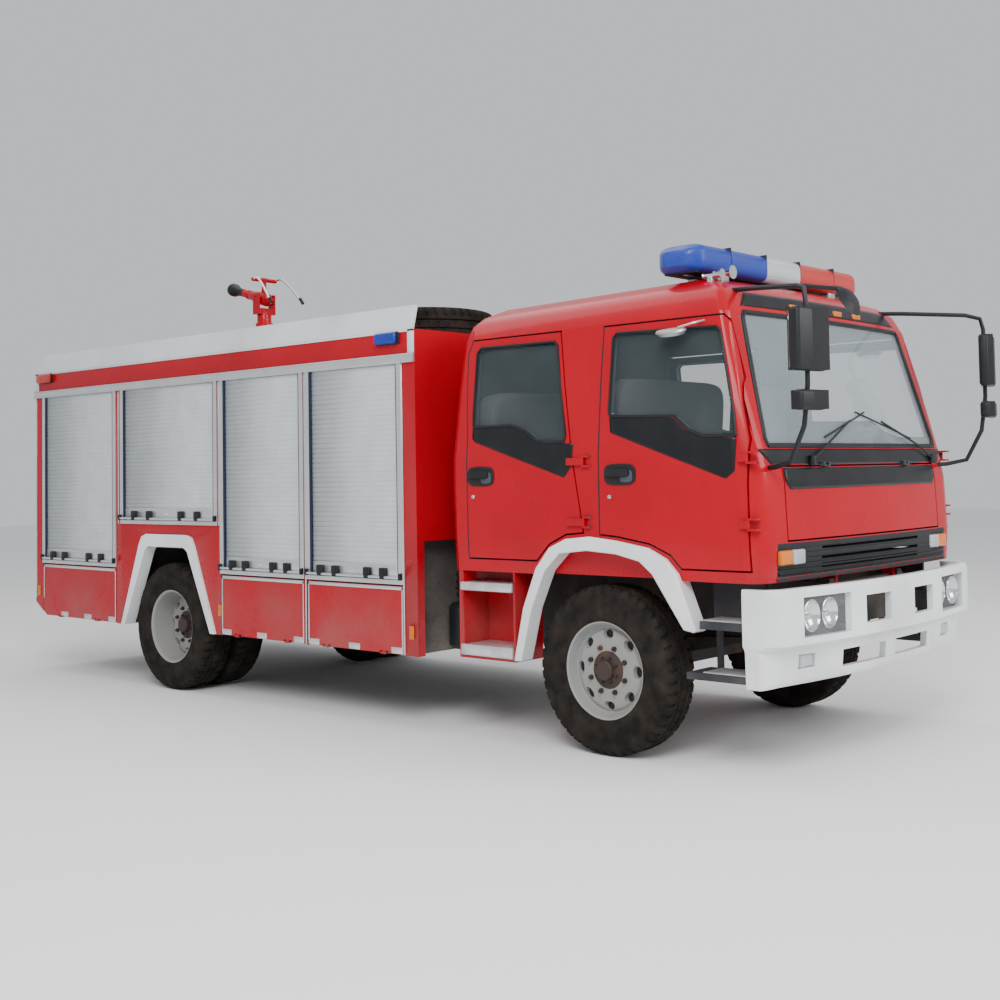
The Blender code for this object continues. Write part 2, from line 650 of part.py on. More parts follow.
def front_step(suffix, side):
    """Dark housing beside the bumper with two foot treads, carried by an arm off the rail."""
    step = block("front_step_" + suffix, side_range(side, 0.950, 0.980), (back(-1.040), back(-0.700)),
                 (0.800, 1.048), "dark_plastic")
    join(step, block("upper_tread_" + suffix, side_range(side, 0.955, 1.190), (back(-1.040), back(-0.745)),
                     (0.802, 0.845)))
    join(step, block("lower_tread_" + suffix, side_range(side, 0.955, 1.190), (back(-1.040), back(-0.650)),
                     (0.522, 0.560)))
    for label, where in (("front", -1.010), ("rear", -0.730)):
        join(step, block("tread_hanger_%s_%s" % (label, suffix), side_range(side, 0.960, 0.975),
                         (back(where - 0.020), back(where + 0.020)), (0.530, 0.810)))
    join(step, block("step_arm_" + suffix, side_range(side, RAIL_OUTER + GAP, 0.960), (back(-0.930), back(-0.860)),
                     (0.830, 0.890)))
    return step


# ---------------------------------------------------------------- cab
def cab_loop(height, inset):
    """Plan outline of the cab at one height, set in from the skin by inset."""
    shoulder = 2.55
    level = min(height + (inset if height > shoulder else 0.0), 2.79)
    half = along(CAB_HALF_WIDTH, level) - inset
    nose = along(CAB_NOSE, level) + inset
    rear = along(CAB_BACK, level) - inset
    corner = along(NOSE_CORNER, level) - 0.5 * inset
    flat = half - corner
    points = [(x, nose + NOSE_BOW * (x / half) ** 2) for x in (0.0, flat * 0.34, flat * 0.67, flat)]
    start = points[-1][1] + corner
    for number in range(1, 5):
        angle = pi / 2 * number / 4
        points.append((flat + corner * sin(angle), start - corner * cos(angle)))
    points.append((half, rear - BACK_CORNER))
    points.append((half - BACK_CORNER * 0.3, rear - BACK_CORNER * 0.3))
    points.append((half - BACK_CORNER, rear))
    around = [(-x, y) for x, y in reversed(points)] + points[1:]
    rise = ROOF_SLOPE * max(0.0, min(1.0, (height - 2.20) / 0.50))
    return [(x, back(y), height - y * rise) for x, y in around]


OUTER_LEVELS = (1.060, 1.270, 1.600, 1.770, 2.200, 2.550, 2.660, 2.720, 2.770, 2.790)


def cab_solid(name, inset, slot=None, bottom=None, top=None):
    """The cab's outer form, shrunk by inset and closed between two heights."""
    low = CAB_FLOOR[0] if bottom is None else bottom
    high = OUTER_LEVELS[-1] if top is None else top
    levels = [low] + [level for level in OUTER_LEVELS if low + 0.01 < level < high - 0.01] + [high]
    return loft(name, [cab_loop(level, inset) for level in levels], slot)


def flare_outline():
    """Wheel-arch lip: outer edge forwards over the wheel, then the inner edge back."""
    outer = [(0.630, 0.520), (0.550, 0.850), (0.440, 1.100), (0.330, 1.225), (0.200, 1.280), (0.020, 1.297),
             (-0.180, 1.277), (-0.410, 1.240), (-0.535, 1.180), (-0.610, 1.100), (-0.735, 0.790)]
    inner = [(-0.715, 0.780), (-0.650, 0.790), (-0.545, 0.940), (-0.440, 1.090), (-0.350, 1.160), (-0.180, 1.197),
             (0.040, 1.212), (0.250, 1.190), (0.370, 1.080), (0.480, 0.850), (0.572, 0.520)]
    return outer, inner


def arch_cut_outline():
    outer, _ = flare_outline()
    return [(back(0.640), 0.300)] + [(back(y), z) for y, z in outer] + [(back(-0.760), 0.300)]


FRONT_DOOR = [(-1.085, 1.120), (-0.625, 1.120), (-0.550, 1.198), (-0.412, 1.256), (-0.180, 1.293), (-0.045, 1.303),
              (-0.045, 2.545), (-0.890, 2.545), (-0.940, 2.480), (-1.035, 2.010), (-1.075, 1.840)]
REAR_DOOR = [(1.036, 1.135), (0.450, 1.135), (0.340, 1.240), (0.205, 1.300), (0.066, 1.312), (0.285, 2.545),
             (1.040, 2.545), (1.080, 2.450), (1.040, 1.900)]
FRONT_WINDOW = [(-1.005, 1.862), (-0.790, 1.866), (-0.690, 1.905), (-0.590, 1.985), (-0.130, 2.000), (-0.120, 2.030),
                (-0.125, 2.465), (-0.150, 2.492), (-0.850, 2.475), (-0.880, 2.450), (-0.985, 2.000)]
REAR_WINDOW = [(0.985, 1.975), (0.660, 1.975), (0.540, 1.940), (0.440, 1.875), (0.370, 1.862), (0.215, 1.862),
               (0.210, 1.900), (0.310, 2.455), (0.335, 2.480), (0.960, 2.485), (0.990, 2.455), (0.990, 2.050)]
WINDSCREEN = [(-1.020, 1.800), (1.020, 1.800), (1.045, 1.840), (0.965, 2.540), (0.920, 2.570), (-0.920, 2.570),
              (-0.965, 2.540), (-1.045, 1.840)]
LID = (0.930, 1.285, 1.685)      # half width, bottom, top
GRILLE = (1.035, 1.087, 1.268)


def side_prism(name, outline, side, distance=0.0, near=DOORWAY_INNER, far=1.320):
    """Cutter through one side of the cab."""
    moved = offset([(back(y), z) for y, z in outline], distance)
    return prism(name, moved, "X", sorted(side_range(side, near, far)))


def nose_prism(name, half, low, high, distance):
    return block(name, (-half - distance, half + distance), (back(-1.400), back(-0.900)),
                 (low - distance, high + distance))


def cab_shell(inner):
    """Hollow pressed shell with its openings, wheel houses, crew steps and tilt lugs."""
    shell = cab_solid("cab_shell", 0.0, "red_paint")
    cut(shell, inner)
    for suffix, side in (("r", -1.0), ("l", 1.0)):
        join(shell, block("wheel_house_" + suffix, side_range(side, 0.850, 1.165), (back(-0.640), back(0.460)),
                          (CAB_FLOOR[0] + 0.005, 1.280)))
        join(shell, block("crew_step_" + suffix, side_range(side, 0.920, 1.178), (back(0.645), back(1.130)),
                          (0.505, CAB_FLOOR[0] + 0.020)))
    for suffix, side in (("r", -1.0), ("l", 1.0)):
        join(shell, block("tilt_lug_" + suffix, side_range(side, 0.340, 0.375),
                          (back(TILT_PIVOT[0] - 0.035), back(TILT_PIVOT[0] + 0.035)),
                          (TILT_PIVOT[1] - 0.035, CAB_FLOOR[0] + 0.020)))
        well = side_range(side, 0.945, 1.300)
        cut(shell, block("lower_well_" + suffix, well, (back(0.660), back(1.090)), (0.585, 0.930)))
        cut(shell, block("upper_well_" + suffix, well, (back(0.660), back(1.090)), (0.980, CAB_FLOOR[0] - 0.0005)))
        cut(shell, prism("arch_cut_" + suffix, arch_cut_outline(), "X", sorted(side_range(side, 1.096, 1.300))))
        cut(shell, side_prism("front_doorway_" + suffix, FRONT_DOOR, side))
        cut(shell, side_prism("rear_doorway_" + suffix, REAR_DOOR, side))
    cut(shell, rod("tilt_bore", (0.0, back(TILT_PIVOT[0]), TILT_PIVOT[1]), "X", (-0.500, 0.500),
                   bore_for(TILT_PIN_RADIUS, 12), steps=12))
    cut(shell, prism("windscreen_opening", offset(WINDSCREEN, GAP), "Y", (back(-1.400), back(-0.700))))
    cut(shell, nose_prism("lid_opening", *LID, RUNNING_GAP))
    cut(shell, nose_prism("grille_opening", *GRILLE, GAP))
    return shell


def windscreen():
    glass = cab_solid("windscreen", GLASS_INSET, "glass", 1.500, 2.700)
    cut(glass, cab_solid("windscreen_back", GLASS_INSET + GLASS_THICKNESS, None, 1.300, 2.740))
    return keep_inside(glass, prism("windscreen_outline", WINDSCREEN, "Y", (back(-1.400), back(-0.600))))


def front_lid(shell):
    """Maintenance lid in the nose, hung from two small hinges along its upper edge."""
    half, low, high = LID
    lid = cab_solid("front_lid", 0.0, "red_paint", 1.150, 1.800)
    cut(lid, cab_solid("lid_back", LID_THICKNESS, None, 1.100, 1.900))
    keep_inside(lid, nose_prism("lid_outline", half, low, high, 0.0))
    axis_y, axis_z = back(LID_PIVOT[0]), LID_PIVOT[1]
    carrier = ((axis_y - 0.006, axis_y + 0.034), (high + 0.0006, high + 0.027))
    web = ((axis_y, axis_y + 0.030), (high - 0.013, high + 0.0005))
    for suffix, x in (("r", -0.500), ("l", 0.500)):
        hinge("lid_hinge_" + suffix, shell, lid, "X", (x, axis_y, axis_z), 0.020, carrier, [web], 0.0035)
    pivot("lid_hinge", (0.0, axis_y, axis_z), [lid])
    return lid


def grille():
    """Panel between the lid and the bumper with three air slots."""
    half, low, high = GRILLE
    panel = cab_solid("grille", 0.0, "dark_plastic", CAB_FLOOR[0] + 0.005, 1.500)
    cut(panel, cab_solid("grille_back", 0.040, None, 1.020, 1.600))
    keep_inside(panel, nose_prism("grille_outline", half, low, high, 0.0))
    for number in range(3):
        slot_low = low + 0.030 + 0.047 * number
        cut(panel, block("grille_slot_%d" % number, (-0.600, 0.600), (back(-1.400), back(-1.050)),
                         (slot_low, slot_low + 0.026)))
    return panel


def door(shell, name, outline, window, hinge_at, strap, inner, suffix, side):
    """One whole door: the cab's skin and lining inside the doorway, its window cut, on two strap hinges."""
    leaf = cab_solid(name + "_" + suffix, 0.0, "red_paint")
    keep_inside(leaf, side_prism(name + "_edge_" + suffix, outline, side, -RUNNING_GAP, DOORWAY_INNER + RUNNING_GAP))
    cut(leaf, inner)
    cut(leaf, side_prism(name + "_window_" + suffix, window, side))
    axis_y = back(hinge_at)
    skin = DOOR_AXIS_X - 0.012
    carrier = (side_range(side, skin - 0.030, skin + 0.018), (axis_y - 0.050, axis_y + 0.007))
    webs = [(side_range(side, skin + 0.003, skin + 0.018), (axis_y, axis_y + strap)),
            (side_range(side, skin - 0.018, skin + 0.010), (axis_y + strap - 0.020, axis_y + strap))]
    for label, height in (("low", 1.380), ("high", 1.740)):
        hinge("%s_%s_%s" % (name, label, suffix), shell, leaf, "Z", (side * DOOR_AXIS_X, axis_y, height), 0.022,
              carrier, webs, 0.0045)
    pivot(name + "_hinge_" + suffix, (side * DOOR_AXIS_X, back(hinge_at), 1.800), [leaf])
    return leaf


def cab_flare(suffix, side):
    outer, inner = flare_outline()
    outer = offset([(back(y), z) for y, z in outer + inner], -GAP)
    lip = prism("cab_flare_" + suffix, outer, "X", sorted(side_range(side, 1.100, FLARE_OUT)), "white_paint")
    return lip


def seats():
    """Driver's seat and passenger bench on one base, and the crew's bench behind them."""
    house_top = 1.280
    base = block("front_seats", (-1.050, 1.050), (back(-0.500), back(-0.030)), (house_top + GAP, 1.430), "seat_cloth")
    join(base, block("seat_box", (-0.820, 0.820), (back(-0.480), back(-0.050)), (CAB_FLOOR[1] + GAP, 1.300)))
    for label, near, far in (("driver", 0.340, 0.900), ("bench", -1.000, 0.100)):
        join(base, rounded(block(label + "_cushion", (near, far), (back(-0.520), back(-0.040)), (1.410, 1.545)), 0.03))
        lean = [(back(-0.110), 1.480), (back(0.010), 1.480), (back(0.060), 2.230), (back(-0.020), 2.230)]
        join(base, prism(label + "_back", lean, "X", (near + 0.010, far - 0.010)))
    crew = block("crew_bench", (-1.060, 1.060), (back(0.520), back(1.100)), (CAB_FLOOR[1] + GAP, 1.430), "seat_cloth")
    join(crew, rounded(block("crew_cushion", (-1.050, 1.050), (back(0.500), back(0.980)), (1.410, 1.550)), 0.03))
    lean = [(back(0.900), 1.480), (back(1.090), 1.480), (back(1.110), 2.200), (back(1.020), 2.200)]
    join(crew, prism("crew_back", lean, "X", (-1.050, 1.050)))
    return [base, crew]


STEERING_CENTRE = (0.620, -0.660, 1.800)
STEERING_TILT = radians(35)


def dashboard():
    """Full-width dash that follows the inside of the nose, with the steering column."""
    dash = block("dashboard", (-1.150, 1.150), (back(-1.190), back(-0.860)), (1.340, 1.775), "dark_plastic")
    join(dash, block("dash_binnacle", (0.360, 0.880), (back(-0.960), back(-0.800)), (1.560, 1.800)))
    keep_inside(dash, cab_solid("dash_limit", CAB_WALL + 0.010, None, 1.120, 1.900))
    for suffix, side in (("r", -1.0), ("l", 1.0)):
        cut(dash, block("dash_relief_" + suffix, side_range(side, DASH_END, 1.200),
                        (back(DASH_RELIEF), back(-0.700)), (1.300, 1.900)))
    centre = Vector((STEERING_CENTRE[0], back(STEERING_CENTRE[1]), STEERING_CENTRE[2]))
    axis = Vector((0.0, sin(STEERING_TILT), cos(STEERING_TILT)))
    top = centre - axis * (0.025 + GAP)
    foot = centre - axis * 0.330
    join(dash, tube("steering_column", [tuple(foot), tuple(top)], 0.030))
    stay = [(back(-1.120), CAB_FLOOR[1] + GAP), (back(-1.020), CAB_FLOOR[1] + GAP), (back(-1.020), 1.360),
            (back(-1.120), 1.360)]
    for label, near, far in (("right", -0.90, -0.84), ("left", 0.84, 0.90)):
        join(dash, prism("dash_stay_" + label, stay, "X", (near, far)))
    return dash


def steering_wheel():
    centre = Vector((STEERING_CENTRE[0], back(STEERING_CENTRE[1]), STEERING_CENTRE[2]))
    ring = 0.205
    grip = 0.015
    circle = [(ring + grip * cos(2 * pi * n / 6), grip * sin(2 * pi * n / 6)) for n in range(6)]
    wheel = turned("steering_wheel", circle, centre, "Z", "dark_plastic", 20, closed=True)
    hub = rod("steering_hub", centre, "Z", (centre.z - 0.025, centre.z + 0.020), 0.050)
    join(wheel, hub)
    join(wheel, block("steering_spoke_a", (centre.x - ring, centre.x + ring), (centre.y - 0.020, centre.y + 0.020),
                      (centre.z - 0.010, centre.z + 0.008)))
    join(wheel, block("steering_spoke_b", (centre.x - 0.020, centre.x + 0.020), (centre.y, centre.y + ring),
                      (centre.z - 0.010, centre.z + 0.008)))
    tilt = Matrix.Translation(centre) @ Matrix.Rotation(-STEERING_TILT, 4, "X") @ Matrix.Translation(-centre)
    wheel.matrix_world = tilt
    for piece in (step.object for step in wheel.modifiers):
        piece.matrix_world = tilt
    return wheel


def light_bar():
    """Lens housing on two feet that stand on the roof."""
    low, high = LIGHT_BAR_Z
    middle = low + 0.045
    plans = [(low, 0.985, 0.055), (middle, 0.985, 0.055), (high - 0.020, 0.930, 0.085), (high, 0.880, 0.110)]
    front, rear = -0.640, -0.320
    loops = []
    for height, half, taper in plans:
        inset = taper - 0.055
        near, far = front + inset, rear - inset
        outline = [(-half, near + 0.090), (-half + 0.140, near), (half - 0.140, near), (half, near + 0.090),
                   (half, far - 0.060), (half - 0.080, far), (-half + 0.080, far), (-half, far - 0.060)]
        loops.append([(x, back(y), height) for x, y in outline])
    bar = loft("light_bar", loops, "beacon_lens")
    for suffix, side in (("r", -1.0), ("l", 1.0)):
        join(bar, block("light_foot_" + suffix, side_range(side, 0.520, 0.640), (back(-0.560), back(-0.400)),
                        (2.700, low + 0.020)))
    return cut(bar, cab_solid("roof_clearance", -GAP, None, CAB_FLOOR[0], OUTER_LEVELS[-1] + GAP))


def mirror(suffix, side):
    """Bent tube from the roof corner to the cab's corner with its wide and tall mirror heads."""
    route = [(0.880, -0.800, 2.700), (0.930, -0.960, 2.690), (1.060, -1.340, 2.655), (1.125, -1.415, 2.630),
             (1.135, -1.430, 2.560), (1.135, -1.430, 2.120), (1.130, -1.400, 1.900), (1.110, -1.300, 1.710),
             (1.070, -1.180, 1.685), (1.020, -1.060, 1.680)]
    arm = tube("mirror_" + suffix, [(side * x, back(y), z) for x, y, z in route], 0.014, "dark_plastic")
    turn = Matrix.Rotation(side * radians(28), 4, "Z")
    for label, wide, low, high in (("main", 0.215, 2.190, 2.520), ("small", 0.190, 1.985, 2.085)):
        head = block(label + "_mirror_" + suffix, (-wide / 2, wide / 2), (-0.050, 0.014), (low, high))
        head.matrix_world = Matrix.Translation((side * 1.135, back(-1.430), 0.0)) @ turn
        join(arm, head)
    if side < 0:
        join(arm, tube("front_mirror_arm", [(side * 1.060, back(-1.340), 2.655), (side * 0.900, back(-1.480), 2.640),
                                            (side * 0.830, back(-1.500), 2.600)], 0.012))
        bowl = [(0.0, 0.035), (0.060, 0.028), (0.100, 0.0), (0.0, 0.0)]
        dish = turned("front_mirror", bowl, (0.0, 0.0, 0.0), "Z", steps=16)
        lean = Matrix.Rotation(radians(60), 4, "X")
        dish.matrix_world = Matrix.Translation((side * 0.830, back(-1.515), 2.575)) @ lean
        join(arm, dish)
    return cut(arm, cab_solid("mirror_clearance_" + suffix, -GAP))


# ---------------------------------------------------------------- body
def bays():
    """Locker bays from the front: name, front, rear, sill height, and whether a step flap closes the foot."""
    arch = (REAR_AXLE_Y - ARCH_BAY_HALF, REAR_AXLE_Y + ARCH_BAY_HALF)
    first = BODY_FRONT_Y + CORNER_POST
    last = BODY_REAR_Y - CORNER_POST
    middle = (first + arch[0] - 0.035) / 2
    return [("1", first, middle - 0.0125, FLAP_TOP + 0.010, True),
            ("2", middle + 0.0125, arch[0] - 0.035, FLAP_TOP + 0.010, True),
            ("3", arch[0], arch[1], ARCH_BAY_SILL, False),
            ("4", arch[1] + 0.070, last, FLAP_TOP + 0.010, True)]


def rear_flare_outline():
    outer = [(0.655, 0.486), (0.385, 1.150), (0.345, 1.215), (0.280, 1.237), (-0.280, 1.237), (-0.345, 1.215),
             (-0.385, 1.150), (-0.655, 0.486)]
    inner = [(-0.600, 0.486), (-0.300, 1.105), (-0.250, 1.135), (0.250, 1.135), (0.300, 1.105), (0.600, 0.486)]
    return outer, inner


def body_shell():
    """Locker body: tank and lockers over the frame, open bays, wheel arches and a dished roof."""
    shell = block("body_shell", (-BODY_HALF_WIDTH, BODY_HALF_WIDTH), (BODY_FRONT_Y, BODY_REAR_Y),
                  (BODY_BOTTOM, BODY_WALL_TOP), "red_paint")
    lengthwise = (BODY_FRONT_Y - 0.5, BODY_REAR_Y + 0.5)
    cut(shell, block("chassis_tunnel", (-TUNNEL_HALF_WIDTH, TUNNEL_HALF_WIDTH), lengthwise, (0.2, RAIL_TOP)))
    cut(shell, block("front_recess", (-1.181, 1.181), (BODY_FRONT_Y - 0.5, BODY_FRONT_Y + 0.095), (0.2, 1.238)))
    cut(shell, block("roof_dish", (-1.190, 1.190), (BODY_FRONT_Y + 0.040, BODY_REAR_Y - 0.050), (ROOF_DECK, 3.0)))
    join(shell, block("walkway", WALKWAY[0], WALKWAY[1], (ROOF_DECK - 0.010, ROOF_DECK + WALKWAY[2])))
    tail = [(BODY_REAR_Y - 0.190, 0.300), (BODY_REAR_Y - 0.190, BODY_BOTTOM), (BODY_REAR_Y + 0.005, 0.605),
            (BODY_REAR_Y + 0.300, 0.300)]
    cut(shell, prism("tail_cut", tail, "X", (-1.5, 1.5)))
    outer, _ = rear_flare_outline()
    arch = [(REAR_AXLE_Y + 0.700, 0.300)] + [(REAR_AXLE_Y + y, z) for y, z in outer] + [(REAR_AXLE_Y - 0.700, 0.300)]
    house = [(REAR_AXLE_Y + y, z) for y, z in ((0.660, 0.2), (0.600, 0.900), (0.400, 1.120), (-0.400, 1.120),
                                                (-0.600, 0.900), (-0.660, 0.2))]
    for suffix, side in (("r", -1.0), ("l", 1.0)):
        cut(shell, prism("rear_arch_" + suffix, arch, "X", sorted(side_range(side, 1.165, 1.400))))
        cut(shell, prism("rear_house_" + suffix, house, "X", sorted(side_range(side, 0.600, 1.200))))
        deep = side_range(side, BODY_HALF_WIDTH - LOCKER_DEPTH, BODY_HALF_WIDTH + 0.100)
        for name, front, rear, sill, flap in bays():
            low = BODY_BOTTOM + 0.026 if flap else sill - GAP
            cut(shell, block("locker_%s_%s" % (name, suffix), deep, (front, rear), (low, SHUTTER_TOP + GAP)))
            if flap:
                seat = side_range(side, BODY_HALF_WIDTH - FLAP_THICKNESS - 0.006, BODY_HALF_WIDTH + 0.100)
                cut(shell, block("flap_seat_%s_%s" % (name, suffix), seat, (front, rear), (0.300, FLAP_TOP + 0.008)))
    cut(shell, block("pump_bay", (-0.700, 0.500), (BODY_REAR_Y - 0.450, BODY_REAR_Y + 0.2), (1.100, 2.400)))
    return shell


def shutters(suffix, side):
    """Rain rail along the side and the four roller shutters that it joins, one in each bay."""
    outer = BODY_HALF_WIDTH + 0.0103
    rail = block("shutters_" + suffix, side_range(side, BODY_HALF_WIDTH + 0.0003, BODY_HALF_WIDTH + 0.018),
                 (BODY_FRONT_Y, BODY_REAR_Y), RAIL_BAND, "shutter_alloy")
    for name, front, rear, sill, _ in bays():
        join(rail, block("shutter_%s_%s" % (name, suffix), side_range(side, BODY_HALF_WIDTH - 0.030, outer),
                         (front + GAP, rear - GAP), (sill, SHUTTER_TOP)))
    for name, front, rear, sill, _ in bays():
        cut(rail, block("curtain_%s_%s" % (name, suffix), side_range(side, BODY_HALF_WIDTH - 0.008, outer + 0.1),
                        (front + 0.045, rear - 0.045), (sill + 0.030, RAIL_BAND[0] - 0.002)))
    return rail


def rear_shutter():
    panel = block("rear_shutter", (-0.700 + GAP, 0.500 - GAP), (BODY_REAR_Y - 0.030, BODY_REAR_Y + 0.010),
                  (1.100 + GAP, 2.400 - GAP), "shutter_alloy")
    return cut(panel, block("rear_curtain", (-0.655, 0.455), (BODY_REAR_Y - 0.008, BODY_REAR_Y + 0.1), (1.130, 2.370)))


def step_flap(shell, name, front, rear, suffix, side):
    """Fold-down panel under a shutter; it turns on its lower outer edge and becomes a step."""
    inner = BODY_HALF_WIDTH - FLAP_THICKNESS
    flap = block("step_flap_%s_%s" % (name, suffix), side_range(side, inner, BODY_HALF_WIDTH),
                 (front + 0.008, rear - 0.008), (BODY_BOTTOM + 0.005, FLAP_TOP), "red_paint")
    if rear > BODY_REAR_Y - 0.2:
        cut(flap, prism("flap_corner_" + suffix, [(BODY_REAR_Y - 0.200, 0.3), (BODY_REAR_Y - 0.200, BODY_BOTTOM),
                                                  (BODY_REAR_Y, 0.612), (BODY_REAR_Y + 0.3, 0.3)], "X", (-1.5, 1.5)))
    axis_x, axis_z = BODY_HALF_WIDTH + 0.003, BODY_BOTTOM + 0.005
    carrier = (side_range(side, 1.195, axis_x + 0.006), (BODY_BOTTOM, axis_z + 0.006))
    web = (side_range(side, axis_x - 0.016, BODY_HALF_WIDTH), (axis_z - 0.002, axis_z + 0.023))
    middle = (front + rear) / 2
    for label, y in (("front", middle - 0.300), ("rear", middle + 0.300)):
        title = "flap_%s_%s_%s" % (name, label, suffix)
        cut(flap, block(title + "_notch", side_range(side, 1.200, 1.260), (y - 0.045, y + 0.045),
                        (axis_z - 0.010, axis_z + 0.014)))
        hinge(title, shell, flap, "Y", (side * axis_x, y, axis_z), 0.018, carrier, [web], 0.004)
    pivot("flap_hinge_%s_%s" % (name, suffix), (side * axis_x, middle, axis_z), [flap])
    return flap


def rear_flare(suffix, side):
    outer, inner = rear_flare_outline()
    ring = offset([(REAR_AXLE_Y + y, z) for y, z in outer + inner], -GAP)
    return prism("rear_flare_" + suffix, ring, "X", sorted(side_range(side, 1.1655, 1.270)), "white_paint")


def roof_coaming():
    """Walkway rail round three sides of the roof, leaning inwards."""
    low, high = BODY_WALL_TOP + GAP, COAMING_TOP
    wall = 0.030

    def loop(height, lean, shrink, front):
        half = BODY_HALF_WIDTH - lean - shrink
        rear = BODY_REAR_Y - 2 * lean - shrink
        return [(-half, front, height), (half, front, height), (half, rear, height), (-half, rear, height)]

    front = BODY_FRONT_Y + 0.030
    slope = COAMING_LEAN / (high - low)
    rail = loft("roof_coaming", [loop(low, 0.0, 0.0, front), loop(high, COAMING_LEAN, 0.0, front)], "coaming_paint")
    below, above = low - 0.02, high + 0.02
    inside = loft("coaming_inside", [loop(below, -0.02 * slope, wall, front - 0.1),
                                     loop(above, COAMING_LEAN + 0.02 * slope, wall, front - 0.1)])
    return cut(rail, inside)


def spare_wheel():
    centre = (-0.445, back(2.170), ROOF_DECK + GAP + TYRE_WIDTH / 2)
    rim = [(0.262, 0.060), (0.200, 0.040), (0.110, 0.030), (0.110, 0.000), (0.200, 0.010), (0.262, 0.030)]
    profile = tyre_profile() + [(0.262, -0.105)] + list(reversed(rim)) + [(0.262, 0.105)]
    return turned("spare_wheel", profile, centre, "Z", "tyre_rubber", WHEEL_STEPS, closed=True)


def ladder():
    """Tube ladder on the rear wall with hooked tops over the roof rail."""
    wall = BODY_REAR_Y + GAP
    stand = wall + 0.085
    near, far = 0.640, 1.020
    rail = None
    for number, x in enumerate((near, far)):
        route = [(x, stand, 0.780), (x, stand, 2.880), (x, stand - 0.060, 2.960), (x, stand - 0.190, 2.960),
                 (x, stand - 0.235, 2.900)]
        piece = tube("rear_ladder" if rail is None else "ladder_rail_b", route, 0.016,
                     "bare_alloy" if rail is None else None, 6)
        rail = rail or piece
        if number:
            join(rail, piece)
    for number in range(7):
        height = 0.870 + 0.300 * number
        join(rail, tube("rung_%d" % number, [(near, stand, height), (far, stand, height)], 0.013, None, 6))
    for number, height in enumerate((1.000, 2.350)):
        for x in (near, far):
            join(rail, tube("ladder_foot_%d_%s" % (number, x), [(x, wall, height), (x, stand, height)], 0.013,
                            None, 6))
    return rail


# ---------------------------------------------------------------- monitor
MONITOR_SWIVEL = 3.020          # height of the joint between riser and head
MONITOR_ELEVATION = 3.270       # height of the barrel's trunnions
MONITOR_FORK = 0.075
MONITOR_DROOP = radians(16)


def monitor_head(y):
    """Swivelling body with the two cheeks that carry the trunnions."""
    low = MONITOR_SWIVEL + GAP
    profile = [(0.0, 3.160), (0.050, 3.160), (0.064, 3.120), (0.064, 3.060), (0.078, 3.050), (0.078, low), (0.0, low)]
    head = turned("monitor_head", profile, (0.0, y, 0.0), "Z", "red_paint", 14)
    outer = MONITOR_FORK + 0.020
    join(head, block("monitor_yoke", (-outer, outer), (y - 0.040, y + 0.040), (3.130, 3.185)))
    for side in (-1.0, 1.0):
        join(head, block("monitor_cheek_%d" % side, side_range(side, MONITOR_FORK, outer), (y - 0.040, y + 0.040),
                         (3.140, MONITOR_ELEVATION + 0.040)))
    for side in (-1.0, 1.0):
        cut(head, rod("trunnion_bore_%d" % side, (0.0, y, MONITOR_ELEVATION), "X",
                      sorted(side_range(side, MONITOR_FORK - 0.010, outer + 0.010)), bore_for(0.020, 12), steps=12))
    return head


def monitor_barrel(y):
    """Barrel with trunnions, the cross bar above them and a tiller at each end of the bar."""
    pivot_z = MONITOR_ELEVATION
    profile = [(0.0, 0.500), (0.056, 0.500), (0.060, 0.455), (0.042, 0.400), (0.034, 0.380), (0.036, 0.230),
               (0.060, 0.060), (0.060, -0.050), (0.040, -0.068), (0.0, -0.068)]
    barrel = turned("monitor_barrel", profile, (0.0, 0.0, 0.0), "Z", "red_paint", 14)
    barrel.matrix_world = (Matrix.Translation((0.0, y, pivot_z))
                           @ Matrix.Rotation(MONITOR_DROOP - pi / 2, 4, "X"))
    join(barrel, rod("trunnion", (0.0, y, pivot_z), "X", (-MONITOR_FORK - 0.018, MONITOR_FORK + 0.018), 0.020,
                     steps=12))
    bar_z = pivot_z + 0.170
    join(barrel, rod("tiller_post", (0.0, y, 0.0), "Z", (pivot_z + 0.020, bar_z), 0.024, steps=10))
    join(barrel, rod("cross_bar", (0.0, y, bar_z), "X", (-0.130, 0.130), 0.019, steps=10))
    for side, reach in ((-1.0, 0.260), (1.0, 0.400)):
        route = [(side * 0.118, y, bar_z), (side * 0.118, y - 0.25 * reach, bar_z + 0.005),
                 (side * 0.118, y - 0.60 * reach, bar_z - 0.090), (side * 0.118, y - reach, bar_z - 0.240)]
        join(barrel, tube("tiller_%d" % side, route, 0.011, None, 6))
    return barrel


def monitor():
    """Roof water monitor: fixed riser, swivelling head, and the barrel on its elevation pivot."""
    y = back(MONITOR_U)
    riser_profile = [(0.0, MONITOR_SWIVEL), (0.070, MONITOR_SWIVEL), (0.070, 2.990), (0.052, 2.980), (0.052, 2.630),
                     (0.110, 2.630), (0.110, ROOF_DECK + GAP), (0.0, ROOF_DECK + GAP)]
    riser = turned("monitor_riser", riser_profile, (0.0, y, 0.0), "Z", "red_paint", 14)
    pivot("monitor_swivel", (0.0, y, MONITOR_SWIVEL), [monitor_head(y)])
    pivot("monitor_elevation", (0.0, y, MONITOR_ELEVATION), [monitor_barrel(y)])
    return riser


